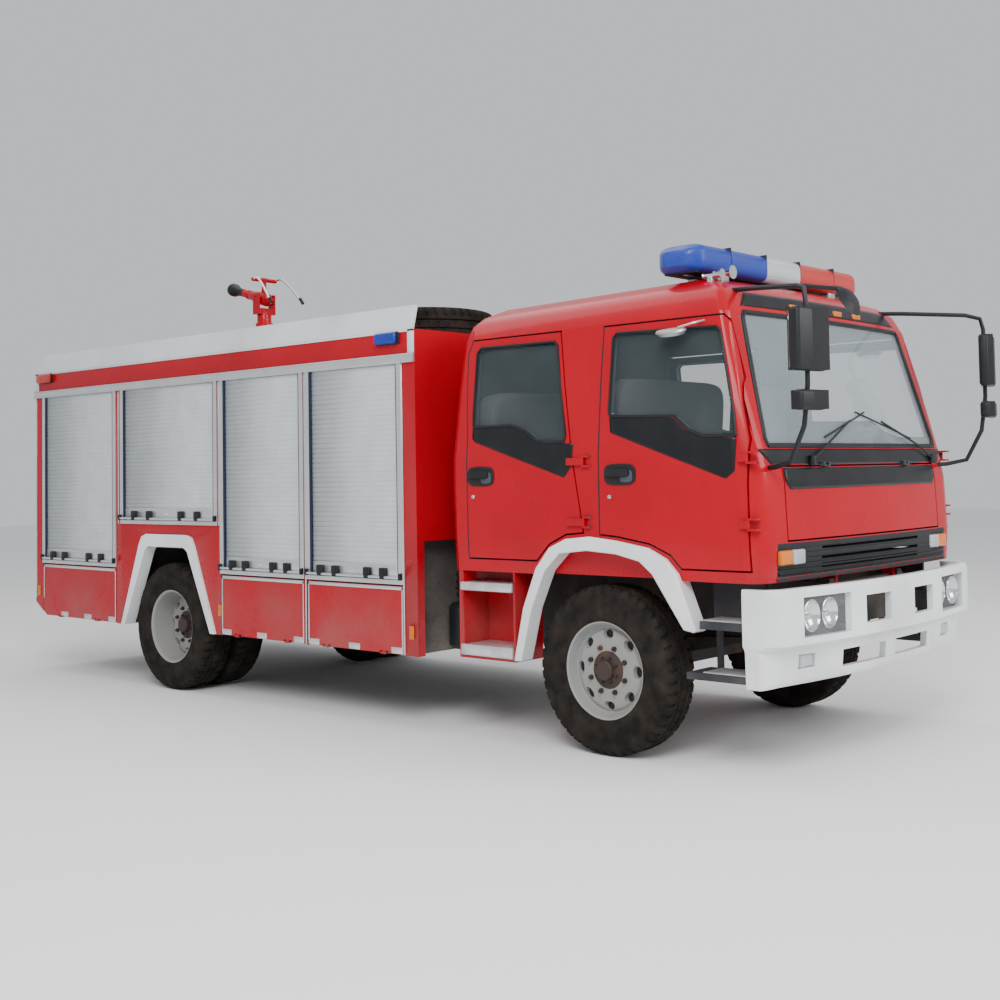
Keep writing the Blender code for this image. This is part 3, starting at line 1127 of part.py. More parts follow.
# ---------------------------------------------------------------- assembly
def build():
    inner = cab_solid("cab_inside", CAB_WALL, None, CAB_FLOOR[1], 2.745)
    chassis_frame()
    front_axle()
    rear_axle()
    engine()
    air_cleaner()
    battery_box()
    front_bumper()
    both_sides(headlamp)
    both_sides(front_step)
    both_sides(front_wheel)
    both_sides(rear_wheel)
    both_sides(knuckle)
    body = body_shell()
    both_sides(shutters)
    rear_shutter()
    both_sides(rear_flare)
    roof_coaming()
    spare_wheel()
    ladder()
    monitor()
    for suffix, side in (("r", -1.0), ("l", 1.0)):
        for name, front, rear, _, flap in bays():
            if flap:
                step_flap(body, name, front, rear, suffix, side)
    shell = cab_shell(inner)
    cab_pieces = [shell, windscreen(), grille(), dashboard(), steering_wheel(), light_bar()]
    cab_pieces += seats() + both_sides(cab_flare) + both_sides(mirror)
    for suffix, side in (("r", -1.0), ("l", 1.0)):
        door(shell, "front_door", FRONT_DOOR, FRONT_WINDOW, -1.085, 0.055, inner, suffix, side)
        door(shell, "rear_door", REAR_DOOR, REAR_WINDOW, 0.060, 0.125, inner, suffix, side)
    front_lid(shell)
    pivot("cab_tilt", (0.0, back(TILT_PIVOT[0]), TILT_PIVOT[1]), cab_pieces)
    bpy.context.view_layer.update()


build()
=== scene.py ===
"""Looks of the airport fire truck: finishes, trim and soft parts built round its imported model."""

import json
import logging
from dataclasses import dataclass
from enum import Enum
from math import atan2, cos, pi, radians, sin, tau
from typing import Callable, Sequence

import bmesh
import bpy
import numpy as np
from mathutils import Matrix, Vector
from mathutils.bvhtree import BVHTree


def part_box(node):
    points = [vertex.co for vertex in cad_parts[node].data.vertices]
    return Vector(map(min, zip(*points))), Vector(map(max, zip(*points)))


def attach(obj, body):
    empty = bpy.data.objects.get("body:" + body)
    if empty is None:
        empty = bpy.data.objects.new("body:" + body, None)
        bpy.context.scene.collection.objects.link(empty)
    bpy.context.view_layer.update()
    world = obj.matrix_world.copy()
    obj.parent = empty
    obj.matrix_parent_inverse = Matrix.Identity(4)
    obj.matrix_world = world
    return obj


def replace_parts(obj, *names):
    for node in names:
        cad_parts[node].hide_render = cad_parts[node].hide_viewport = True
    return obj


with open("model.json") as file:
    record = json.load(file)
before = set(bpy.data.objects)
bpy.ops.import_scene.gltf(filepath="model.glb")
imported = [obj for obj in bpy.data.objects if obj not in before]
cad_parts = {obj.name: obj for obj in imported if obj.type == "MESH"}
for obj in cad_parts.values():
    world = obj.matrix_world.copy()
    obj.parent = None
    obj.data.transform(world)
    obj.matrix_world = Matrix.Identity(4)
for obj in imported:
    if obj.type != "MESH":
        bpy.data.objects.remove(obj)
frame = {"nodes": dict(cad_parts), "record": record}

LOG = logging.getLogger("airport_fire_truck")
Colour = tuple[float, float, float]
Point = tuple[float, float, float]
Mask = Callable[[np.ndarray, np.ndarray], np.ndarray]
SIDES = (("r", -1.0), ("l", 1.0))
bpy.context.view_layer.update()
BODY_OF = {node: body for body, nodes in frame["record"]["behaviour"]["bodies"].items() for node in nodes}


def middle(node: str) -> Vector:
    """Return the middle of a node's box."""
    low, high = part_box(node)
    return (low + high) / 2


AXLE_Y = middle("front_tyre_r").y
BODY_LOW, BODY_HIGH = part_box("body_shell")
AHEAD = -6.0  # y from which rays are sent back at the truck
ABOVE = 4.0  # z from which rays are sent down at it
WELD = 1e-6  # points of a new mesh closer than this are one
CAD_WELD = 2e-5  # the same for a copy of a CAD mesh


def back(distance: float) -> float:
    """Return the y that lies a distance behind the front axle."""
    return AXLE_Y + distance


# ---------------------------------------------------------------- shader graphs
class Value:
    """A shader socket that adds, multiplies and compares as a number does."""

    def __init__(self, graph: "Graph", socket: bpy.types.NodeSocket) -> None:
        """Keep the socket and the graph that holds it."""
        self.graph = graph
        self.socket = socket

    def __add__(self, other: "Value | float") -> "Value":
        """Return the sum."""
        return self.graph.math("ADD", self, other)

    def __radd__(self, other: float) -> "Value":
        """Return the sum."""
        return self.graph.math("ADD", other, self)

    def __sub__(self, other: "Value | float") -> "Value":
        """Return the difference."""
        return self.graph.math("SUBTRACT", self, other)

    def __rsub__(self, other: float) -> "Value":
        """Return the difference from a number."""
        return self.graph.math("SUBTRACT", other, self)

    def __mul__(self, other: "Value | float") -> "Value":
        """Return the product."""
        return self.graph.math("MULTIPLY", self, other)

    def __rmul__(self, other: float) -> "Value":
        """Return the product."""
        return self.graph.math("MULTIPLY", other, self)

    def __truediv__(self, other: "Value | float") -> "Value":
        """Return the quotient."""
        return self.graph.math("DIVIDE", self, other)

    def clamped(self) -> "Value":
        """Return the value held between nought and one."""
        return self.graph.math("MINIMUM", self.graph.math("MAXIMUM", self, 0.0), 1.0)

    def wave(self) -> "Value":
        """Return the sine of the value."""
        return self.graph.math("SINE", self)

    def above(self, edge: float, width: float) -> "Value":
        """Return a ramp from nought at the edge to one a width above it."""
        return ((self - edge) / width).clamped()


class Graph:
    """One material's nodes: a Principled shader and what feeds it."""

    def __init__(self, name: str, colour: Colour, roughness: float, metallic: float = 0.0) -> None:
        """Start a material with plain values on its shader.

        Args:
            name: The material's name.
            colour: Its base colour.
            roughness: Its roughness.
            metallic: How metallic it is.
        """
        self.material = bpy.data.materials.new(name)
        self.material.use_nodes = True
        self.tree = self.material.node_tree
        self.shader = next(n for n in self.tree.nodes if n.type == "BSDF_PRINCIPLED")
        self.set("Base Color", (*colour, 1.0))
        self.set("Roughness", roughness)
        self.set("Metallic", metallic)

    def set(self, socket: str, value: "Value | float | tuple") -> None:
        """Give a socket of the shader a constant or a link."""
        self._feed(self.shader.inputs[socket], value)

    def _feed(self, socket: bpy.types.NodeSocket, value: object) -> None:
        """Link a value to a socket, or store the constant there.

        Args:
            socket: The socket to fill.
            value: A Value to link, or a constant.
        """
        if isinstance(value, Value):
            self.tree.links.new(value.socket, socket)
        else:
            socket.default_value = value

    def node(self, kind: str, settings: dict, inputs: dict, output: int | str = 0) -> Value:
        """Add any node.

        Args:
            kind: The node's type.
            settings: Its properties, such as a Math node's operation, set before its sockets.
            inputs: Values or links by socket name or number.
            output: The socket that is wanted.

        Returns:
            The wanted output.
        """
        made = self.tree.nodes.new(kind)
        for key, value in settings.items():
            setattr(made, key, value)
        for key, value in inputs.items():
            self._feed(made.inputs[key], value)
        return Value(self, made.outputs[output])

    def math(self, operation: str, *values: "Value | float") -> Value:
        """Return a Math node's result."""
        return self.node("ShaderNodeMath", {"operation": operation}, dict(enumerate(values)))

    def mix(self, factor: "Value | float", first: "Value | Colour", second: "Value | Colour") -> Value:
        """Return a colour between two."""
        pair = [value if isinstance(value, Value) else (*value, 1.0) for value in (first, second)]
        return self.node("ShaderNodeMix", {"data_type": "RGBA"}, {0: factor, 6: pair[0], 7: pair[1]}, 2)

    def place(self) -> Value:
        """Return the point in the truck's own metres."""
        return self.node("ShaderNodeTexCoord", {}, {}, "Object")

    def axes(self) -> tuple[Value, Value, Value]:
        """Return x, y and z of the point."""
        split = self.node("ShaderNodeSeparateXYZ", {}, {0: self.place()})
        return tuple(Value(self, split.socket.node.outputs[i]) for i in range(3))

    def noise(self, scale: float, detail: float = 3.0, roughness: float = 0.55) -> Value:
        """Return cloudy noise with that many features a metre."""
        return self.node("ShaderNodeTexNoise", {}, {"Vector": self.place(), "Scale": scale, "Detail": detail,
                                                    "Roughness": roughness})

    def bump(self, height: Value, strength: float, distance: float) -> None:
        """Raise the surface by a height field."""
        self.set("Normal", self.node("ShaderNodeBump", {}, {"Height": height, "Strength": strength,
                                                            "Distance": distance}, "Normal"))


# ---------------------------------------------------------------- finishes
@dataclass(frozen=True)
class Paint:
    """Sprayed coach paint with faint orange peel, and road dust that thickens towards the ground."""

    name: str
    colour: Colour
    roughness: float = 0.24
    coat: float = 0.8
    dust: float = 0.35
    dust_top: float = 1.15

    def material(self) -> bpy.types.Material:
        """Build the material.

        Returns:
            The material.
        """
        graph = Graph(self.name, self.colour, self.roughness)
        _, _, height = graph.axes()
        cloud = graph.noise(1.7, 4.0)
        fine = graph.noise(38.0, 4.0)
        low = (1.0 - height.above(0.30, self.dust_top - 0.30)) * cloud.above(0.35, 0.35)
        dust = (low * self.dust * (0.55 + fine * 0.9)).clamped()
        deep = tuple(0.86 * c for c in self.colour)
        graph.set("Base Color", graph.mix(dust, graph.mix(cloud.above(0.40, 0.30), self.colour, deep),
                                          (0.33, 0.29, 0.25)))
        graph.set("Roughness", self.roughness + dust * 0.45 + fine * 0.05)
        graph.set("Coat Weight", (self.coat * (1.0 - dust)).clamped())
        graph.set("Coat Roughness", 0.06)
        graph.set("Specular IOR Level", 0.15)
        graph.bump(graph.noise(260.0, 2.0), 0.035, 0.002)
        return graph.material


@dataclass(frozen=True)
class Metal:
    """Bare or plated metal with fine rubbed marks and patchy dulling."""

    name: str
    colour: Colour
    roughness: float = 0.32
    metallic: float = 0.9
    rust: float = 0.0

    def material(self) -> bpy.types.Material:
        """Build the material.

        Returns:
            The material.
        """
        graph = Graph(self.name, self.colour, self.roughness, self.metallic)
        _, y, _ = graph.axes()
        cloud = graph.noise(6.0, 5.0)
        rubbed = graph.noise(420.0, 2.0)
        stain = (cloud.above(0.56, 0.16) * self.rust).clamped()
        dull = tuple(0.72 * c for c in self.colour)
        graph.set("Base Color", graph.mix(stain, graph.mix(cloud, self.colour, dull), (0.16, 0.065, 0.03)))
        graph.set("Roughness", self.roughness + cloud * 0.14 + stain * 0.35)
        graph.set("Metallic", (self.metallic * (1.0 - stain)).clamped())
        graph.bump(rubbed + (y * 900.0).wave() * 0.15, 0.05, 0.001)
        return graph.material


@dataclass(frozen=True)
class Plastic:
    """Moulded plastic or trim with a leathery grain and a little dust."""

    name: str
    colour: Colour
    roughness: float = 0.5
    grain: float = 0.12
    dust: float = 0.2

    def material(self) -> bpy.types.Material:
        """Build the material.

        Returns:
            The material.
        """
        graph = Graph(self.name, self.colour, self.roughness)
        cells = graph.node("ShaderNodeTexVoronoi", {}, {"Vector": graph.place(), "Scale": 420.0}, "Distance")
        cloud = graph.noise(5.0, 4.0)
        dust = (cloud.above(0.45, 0.30) * self.dust).clamped()
        graph.set("Base Color", graph.mix(dust, self.colour, (0.16, 0.15, 0.14)))
        graph.set("Roughness", self.roughness + cloud * 0.16)
        graph.set("Specular IOR Level", 0.25)
        graph.bump(cells, self.grain, 0.0015)
        return graph.material


@dataclass(frozen=True)
class Rubber:
    """Tyre rubber with clouds of dried brown dust."""

    name: str
    colour: Colour = (0.020, 0.018, 0.017)

    def material(self) -> bpy.types.Material:
        """Build the material.

        Returns:
            The material.
        """
        graph = Graph(self.name, self.colour, 0.78)
        cloud = graph.noise(9.0, 5.0)
        fine = graph.noise(140.0, 4.0)
        dust = (cloud.above(0.38, 0.34) * (0.22 + fine * 0.35)).clamped()
        graph.set("Base Color", graph.mix(dust, self.colour, (0.070, 0.052, 0.041)))
        graph.set("Roughness", 0.70 + cloud * 0.22)
        graph.set("Specular IOR Level", 0.08)
        graph.bump(fine, 0.22, 0.002)
        return graph.material


@dataclass(frozen=True)
class Glass:
    """A pane or lens that is seen through, with a little dust on it."""

    name: str
    colour: Colour
    alpha: float = 0.30
    roughness: float = 0.04
    glow: float = 0.0

    def material(self) -> bpy.types.Material:
        """Build the material.

        Returns:
            The material.
        """
        graph = Graph(self.name, self.colour, self.roughness)
        cloud = graph.noise(3.5, 5.0)
        graph.set("Roughness", self.roughness + cloud.above(0.55, 0.3) * 0.10)
        graph.set("Alpha", (self.alpha + cloud.above(0.5, 0.4) * 0.06).clamped())
        graph.set("Coat Weight", 0.6)
        if self.glow:
            graph.set("Emission Color", (*self.colour, 1.0))
            graph.set("Emission Strength", self.glow)
        return graph.material


@dataclass(frozen=True)
class Lens:
    """A moulded lamp lens whose prisms run across it."""

    name: str
    colour: Colour
    alpha: float = 0.85
    pitch: float = 0.007

    def material(self) -> bpy.types.Material:
        """Build the material.

        Returns:
            The material.
        """
        graph = Graph(self.name, self.colour, 0.12)
        x, y, z = graph.axes()
        turn = tau / self.pitch
        prisms = (x * turn).wave() * (z * turn).wave() + (y * turn).wave()
        graph.set("Base Color", graph.mix(prisms * 0.25 + 0.35, self.colour, tuple(0.55 * c for c in self.colour)))
        graph.set("Alpha", self.alpha)
        graph.set("Coat Weight", 0.3)
        graph.set("Specular IOR Level", 0.25)
        graph.bump(prisms, 0.30, 0.002)
        return graph.material


@dataclass(frozen=True)
class TreadPlate:
    """Alloy step plate pressed with a raised dot on each crossing of a slanting grid."""

    name: str
    colour: Colour = (0.72, 0.73, 0.74)
    pitch: float = 0.026

    def material(self) -> bpy.types.Material:
        """Build the material.

        Returns:
            The material.
        """
        graph = Graph(self.name, self.colour, 0.38, 0.8)
        x, y, _ = graph.axes()
        turn = tau / self.pitch
        dots = (((x + y) * turn).wave() * ((x - y) * turn).wave()).above(0.25, 0.35)
        cloud = graph.noise(8.0, 4.0)
        graph.set("Base Color", graph.mix((cloud.above(0.45, 0.3) * 0.5).clamped(), self.colour, (0.36, 0.33, 0.30)))
        graph.set("Roughness", 0.32 + cloud * 0.2 - dots * 0.10)
        graph.bump(dots, 0.8, 0.004)
        return graph.material


@dataclass(frozen=True)
class Cloth:
    """Woven seat cloth: two crossing thread waves, and pilling."""

    name: str
    colour: Colour
    thread: float = 0.0035

    def material(self) -> bpy.types.Material:
        """Build the material.

        Returns:
            The material.
        """
        graph = Graph(self.name, self.colour, 0.85)
        x, y, z = graph.axes()
        turn = tau / self.thread
        weave = (x * turn).wave() * ((y + z) * turn).wave()
        cloud = graph.noise(14.0, 4.0)
        graph.set("Base Color", graph.mix((weave * 0.2 + cloud * 0.5).clamped(), self.colour,
                                          tuple(0.6 * c for c in self.colour)))
        graph.set("Roughness", 0.80 + cloud * 0.12)
        graph.set("Sheen Weight", 0.1)
        graph.bump(weave + cloud, 0.35, 0.0015)
        return graph.material


class Finish(Enum):
    """Every finish on the truck, each paired with a slot name that the script does not read."""

    RED = (Paint("fire_red", (0.42, 0.001, 0.011), 0.24, 0.20), "red_paint")
    WHITE = (Paint("bumper_white", (0.80, 0.82, 0.83), 0.28, 0.5, 0.30, 1.3), "white_paint")
    COAMING = (Paint("coaming_silver", (0.62, 0.65, 0.66), 0.30, 0.4, 0.0), "coaming_paint")
    CHASSIS = (Paint("chassis_black", (0.030, 0.030, 0.033), 0.5, 0.1, 0.55, 1.6), "chassis_paint")
    WHEEL = (Paint("wheel_grey", (0.25, 0.26, 0.255), 0.36, 0.3, 0.6, 1.6), "rim_paint")
    IRON = (Metal("axle_black", (0.045, 0.040, 0.036), 0.62, 0.3, 0.8), "axle_iron")
    HUB = (Metal("hub_brown", (0.060, 0.042, 0.036), 0.60, 0.4, 0.7), "axle_iron")
    CURTAIN = (Metal("curtain_alloy", (0.56, 0.60, 0.61), 0.52, 0.10), "shutter_alloy")
    TRIM = (Metal("trim_alloy", (0.74, 0.76, 0.77), 0.28, 0.8), "shutter_alloy")
    ALLOY = (Metal("ladder_alloy", (0.62, 0.64, 0.65), 0.34, 0.9), "bare_alloy")
    CHROME = (Metal("chrome", (0.85, 0.86, 0.87), 0.08, 1.0), "bare_alloy")
    STEP = (TreadPlate("step_plate"), "bare_alloy")
    BLACK = (Plastic("black_trim", (0.011, 0.012, 0.014), 0.36, 0.05, 0.04), "dark_plastic")
    DASH = (Plastic("dash_grey", (0.055, 0.066, 0.080), 0.62, 0.25, 0.10), "dark_plastic")
    PANEL = (Plastic("sill_grey", (0.030, 0.032, 0.036), 0.60, 0.20, 0.25), "dark_plastic")
    GARNISH = (Plastic("garnish_black", (0.009, 0.010, 0.012), 0.24, 0.02, 0.03), "dark_plastic")
    GUIDE = (Plastic("guide_blue_black", (0.012, 0.016, 0.045), 0.45, 0.05, 0.0), "dark_plastic")
    RUBBER = (Rubber("lorry_tyre_rubber", (0.012, 0.011, 0.010)), "tyre_rubber")
    # Windscreen: its pale blue-grey colour and raised alpha are partly the glass's own tint and partly a painted
    # reflection of the sky.
    SCREEN = (Glass("windscreen_tint_and_reflection", (0.40, 0.47, 0.50), 0.32), "glass")
    PANE = (Glass("door_glass", (0.16, 0.21, 0.22), 0.10), "glass")
    CLEAR = (Glass("lamp_cover", (0.70, 0.76, 0.78), 0.07), "lamp_glass")
    MIRROR = (Metal("mirror_face", (0.80, 0.82, 0.84), 0.03, 1.0), "glass")
    BLUE = (Lens("lens_blue", (0.010, 0.050, 0.42)), "beacon_lens")
    BEACON_CLEAR = (Lens("lens_clear", (0.78, 0.84, 0.90), 0.62), "beacon_lens")
    BEACON_RED = (Lens("lens_red", (0.62, 0.035, 0.030)), "beacon_lens")
    AMBER = (Lens("lens_amber", (0.80, 0.20, 0.008), 0.92, 0.005), "lamp_glass")
    CLOTH = (Cloth("woven_seat_cloth", (0.060, 0.063, 0.070)), "seat_cloth")

    def material(self) -> bpy.types.Material:
        """Return the finish's material, built once."""
        found = bpy.data.materials.get(self.value[0].name)
        return found or self.value[0].material()


# ---------------------------------------------------------------- surfaces
def grid_faces(rows: int, columns: int, round_rows: bool = False, round_columns: bool = False) -> np.ndarray:
    """Return the quads of a grid of points.

    Args:
        rows: Points along the first way.
        columns: Points along the second way.
        round_rows: Whether the last row joins the first.
        round_columns: Whether the last column joins the first.

    Returns:
        Four vertex numbers for each face.
    """
    i = np.arange(rows if round_rows else rows - 1)
    j = np.arange(columns if round_columns else columns - 1)
    a, b = np.meshgrid(i, j, indexing="ij")
    c, d = (a + 1) % rows, (b + 1) % columns
    return np.stack([a * columns + b, c * columns + b, c * columns + d, a * columns + d], -1).reshape(-1, 4)


def tube_faces(rows: int, columns: int) -> list[list[int]]:
    """Return the quads of a tube of points and the two faces that close its ends.

    Args:
        rows: Rings along the tube.
        columns: Points round it.

    Returns:
        The vertex numbers of each face.
    """
    last = (rows - 1) * columns
    caps = [list(range(columns))[::-1], list(range(last, last + columns))]
    return grid_faces(rows, columns, round_columns=True).tolist() + caps


def turned_points(radius: np.ndarray, along: np.ndarray, axis: int, steps: int) -> np.ndarray:
    """Return the rings of a turned surface: p = along * axis + radius * (cos t, sin t).

    Args:
        radius: Radius by ring, or by ring and step.
        along: Place along the axis, in the same way.
        axis: 0, 1 or 2 for x, y or z.
        steps: Points round a ring.

    Returns:
        Points by ring, step and coordinate.
    """
    angle = np.arange(steps) * tau / steps
    points = np.zeros((len(radius), steps, 3))
    points[..., axis] = along
    points[..., (axis + 1) % 3] = radius * np.cos(angle)
    points[..., (axis + 2) % 3] = radius * np.sin(angle)
    return points


@dataclass
class Skin:
    """Points and faces that become one mesh."""

    points: np.ndarray
    faces: list[Sequence[int]]

    def __add__(self, other: "Skin") -> "Skin":
        """Join another skin to this one.

        Args:
            other: The skin to join.

        Returns:
            A skin with the points and faces of both.
        """
        shift = len(self.points)
        moved = [[index + shift for index in face] for face in other.faces]
        return Skin(np.vstack([self.points, other.points]), list(self.faces) + moved)

    def turned(self, matrix: Matrix) -> "Skin":
        """Return the skin carried by a matrix."""
        turn = np.array(matrix)
        return Skin(self.points @ turn[:3, :3].T + turn[:3, 3], self.faces)


def gathered(skins: Sequence[Skin]) -> Skin:
    """Join several skins.

    Args:
        skins: The skins, at least one.

    Returns:
        One skin with all their points and faces.
    """
    total = skins[0]
    for skin in skins[1:]:
        total = total + skin
    return total


def fitting(name: str, skin: Skin, finish: Finish, body: str, smooth: float = 35.0, bevel: float = 0.0,
            wall: float = 0.0) -> bpy.types.Object:
    """Make a piece of trim from a skin.

    Args:
        name: The piece's name.
        skin: Its surface, in the truck's frame.
        finish: What it is finished in.
        body: The CAD body it moves with.
        smooth: Edges flatter than this many degrees are shaded smooth.
        bevel: Width of the rounding on its sharper edges.
        wall: Thickness given to an open sheet.

    Returns:
        The finished object.
    """
    mesh = bpy.data.meshes.new(name)
    mesh.from_pydata(skin.points.tolist(), [], [list(face) for face in skin.faces])
    made = bmesh.new()
    made.from_mesh(mesh)
    bmesh.ops.remove_doubles(made, verts=made.verts, dist=WELD)
    bmesh.ops.recalc_face_normals(made, faces=made.faces)
    made.to_mesh(mesh)
    made.free()
    return finished(name, mesh, finish, body, smooth, bevel, wall)


def finished(name: str, mesh: bpy.types.Mesh, finish: Finish, body: str, smooth: float, bevel: float,
             wall: float = 0.0) -> bpy.types.Object:
    """Shade a mesh, give it its modifiers and hang it on its body.

    Args:
        name: The piece's name.
        mesh: Its mesh, in the truck's frame.
        finish: What it is finished in.
        body: The CAD body it moves with.
        smooth: Edges flatter than this many degrees are shaded smooth.
        bevel: Width of the rounding on its sharper edges.
        wall: Thickness given to an open sheet.

    Returns:
        The finished object.
    """
    mesh.materials.clear()
    mesh.materials.append(finish.material())
    mesh.shade_smooth()
    mesh.set_sharp_from_angle(angle=radians(smooth))
    item = bpy.data.objects.new(name, mesh)
    bpy.context.scene.collection.objects.link(item)
    if wall:
        solid = item.modifiers.new("wall", "SOLIDIFY")
        solid.thickness = wall
        solid.offset = 0.0
    if bevel:
        edge = item.modifiers.new("edge", "BEVEL")
        edge.width = bevel
        edge.segments = 2
        edge.limit_method = "ANGLE"
        edge.angle_limit = radians(40.0)
        edge.harden_normals = True
    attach(item, body)
    LOG.info("%s: %d faces on %s", name, len(mesh.polygons), body)
    return item


def refined(node: str, finish: Finish, bevel: float = 0.0, smooth: float = 32.0, lining: Finish | None = None,
            lined: Mask | None = None) -> bpy.types.Object:
    """Show a CAD node through a merged copy of its mesh with smooth shading and eased edges.

    Args:
        node: The CAD node.
        finish: What it is finished in.
        bevel: Width of the eased edges.
        smooth: Edges flatter than this many degrees are shaded smooth.
        lining: A second finish.
        lined: Says from the faces' middles and normals which of them take the second finish.

    Returns:
        The copy.
    """
    mesh = frame["nodes"][node].data.copy()
    made = bmesh.new()
    made.from_mesh(mesh)
    bmesh.ops.remove_doubles(made, verts=made.verts, dist=CAD_WELD)
    bmesh.ops.dissolve_limit(made, angle_limit=radians(0.5), verts=made.verts, edges=made.edges)
    made.to_mesh(mesh)
    made.free()
    item = finished(node + "_skin", mesh, finish, BODY_OF[node], smooth, bevel)
    if lining is not None and lined is not None:
        mesh.materials.append(lining.material())
        count = len(mesh.polygons)
        middles, normals = np.empty(count * 3), np.empty(count * 3)
        mesh.polygons.foreach_get("center", middles)
        mesh.polygons.foreach_get("normal", normals)
        mask = lined(middles.reshape(-1, 3), normals.reshape(-1, 3))
        mesh.polygons.foreach_set("material_index", mask.astype(np.int32))
    weigh = item.modifiers.new("normals", "WEIGHTED_NORMAL")
    weigh.keep_sharp = True
    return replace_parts(item, node)


def dressed(node: str, finish: Finish) -> None:
    """Give a CAD node a finish and leave its mesh alone.

    Args:
        node: The CAD node.
        finish: What it is finished in.
    """
    data = frame["nodes"][node].data
    data.materials.clear()
    data.materials.append(finish.material())


def slab(low: Point, high: Point, radius: float = 0.004, turns: int = 12, rings: int = 6) -> Skin:
    """A box with rounded edges.

    A point of a unit sphere, n, is carried to middle + sign(n) * (half - radius) + radius * n, so that each
    octant of the sphere becomes a corner and the gaps between octants become the flats.

    Args:
        low: One corner.
        high: The opposite corner.
        radius: Radius of its edges.
        turns: Points round it.
        rings: Points from its bottom to its top.

    Returns:
        The skin.
    """
    low, high = np.array(low), np.array(high)
    centre, half = (low + high) / 2, np.abs(high - low) / 2
    radius = min(radius, *(half * 0.98))
    tilt = (np.arange(rings) + 0.5) / rings * pi - pi / 2
    turn = (np.arange(turns) + 0.5) / turns * tau
    lat, lon = np.meshgrid(tilt, turn, indexing="ij")
    normal = np.stack([np.cos(lat) * np.cos(lon), np.cos(lat) * np.sin(lon), np.sin(lat)], -1)
    points = (centre + np.sign(normal) * (half - radius) + radius * normal).reshape(-1, 3)
    return Skin(points, tube_faces(rings, turns))


def badge(centre: Point, half: tuple[float, float], depth: float, side: float, power: float = 0.55,
          steps: int = 40) -> Skin:
    """A raised plate with a superellipse outline on a side wall.

    Ring k of the plate is centre + (side * x_k, a * s_k * |cos t| ** power, b * s_k * |sin t| ** power) with
    the signs of cos t and sin t, where (x_k, s_k) runs from the wall over a rounded edge to the middle.

    Args:
        centre: Its middle on the wall.
        half: Half its length and height.
        depth: How far it stands out.
        side: -1 on the right of the truck, 1 on the left.
        power: Less is squarer.
        steps: Points round it.

    Returns:
        The skin.
    """
    rings = np.array([(-0.2, 1.0), (0.55, 1.0), (0.85, 0.97), (1.0, 0.90), (1.0, 0.45), (1.0, 0.02)])
    angle = np.arange(steps) * tau / steps
    outline = np.stack([np.sign(np.cos(angle)) * np.abs(np.cos(angle)) ** power * half[0],
                        np.sign(np.sin(angle)) * np.abs(np.sin(angle)) ** power * half[1]], -1)
    flat = rings[:, 1][:, None, None] * outline[None]
    x = np.broadcast_to(side * rings[:, 0][:, None] * depth, flat.shape[:2])
    points = np.stack([x, flat[..., 0], flat[..., 1]], -1).reshape(-1, 3) + np.array(centre)
    return Skin(points, tube_faces(len(rings), steps))


def lathe(profile: Sequence[tuple[float, float]], centre: Point, axis: int, steps: int = 48,
          closed: bool = False) -> Skin:
    """Carry a profile round an axis: p = centre + along * axis + radius * (cos t, sin t).

    Args:
        profile: Its (radius, along) points.
        centre: A point of the axis.
        axis: 0, 1 or 2 for x, y or z.
        steps: Points round it.
        closed: Whether the profile's last point joins its first.

    Returns:
        The skin, capped where an open profile ends off the axis.
    """
    line = np.array(profile, float)
    points = turned_points(line[:, :1], line[:, 1:], axis, steps)
    faces = grid_faces(len(line), steps, round_rows=closed, round_columns=True).tolist()
    if not closed:
        for row in (0, len(line) - 1):
            if line[row, 0] > 1e-6:
                faces.append(list(range(row * steps, row * steps + steps)))
    return Skin(points.reshape(-1, 3) + np.array(centre), faces)


def pipe(path: Sequence[Point], radius: float, sides: int = 12, samples: int = 0) -> Skin:
    """A round bar along a path: p = path(s) + radius * (cos t * n(s) + sin t * b(s)), with n carried along.

    Args:
        path: The points it passes.
        radius: Its radius.
        sides: Points round it.
        samples: If given, the path is first smoothed through its points with that many samples.

    Returns:
        The skin, closed at both ends.
    """
    line = np.array(path, float)
    if samples:
        line = smooth_line(line, samples)
    run = np.gradient(line, axis=0)
    run /= np.linalg.norm(run, axis=1)[:, None]
    side = np.cross(run[0], (0.0, 0.0, 1.0) if abs(run[0, 2]) < 0.9 else (1.0, 0.0, 0.0))
    frames = []
    for step in run:
        side = side - step * side.dot(step)
        side = side / np.linalg.norm(side)
        frames.append(side)
    first = np.array(frames)
    second = np.cross(run, first)
    angle = np.arange(sides) * tau / sides
    points = (line[:, None] + radius * (np.cos(angle)[None, :, None] * first[:, None]
                                        + np.sin(angle)[None, :, None] * second[:, None]))
    return Skin(points.reshape(-1, 3), tube_faces(len(line), sides))


def smooth_line(points: np.ndarray, samples: int) -> np.ndarray:
    """Draw a Catmull-Rom curve: between two points a cubic in t, shaped by their two neighbours.

    Args:
        points: What it passes through.
        samples: How many points the curve has.

    Returns:
        The curve's points.
    """
    padded = np.vstack([2 * points[0] - points[1], points, 2 * points[-1] - points[-2]])
    where = np.linspace(0, len(points) - 1 - 1e-9, samples)
    index = where.astype(int)
    t = (where - index)[:, None]
    a, b, c, d = (padded[index + k] for k in range(4))
    return 0.5 * (2 * b + (c - a) * t + (2 * a - 5 * b + 4 * c - d) * t ** 2 + (3 * b - a - 3 * c + d) * t ** 3)


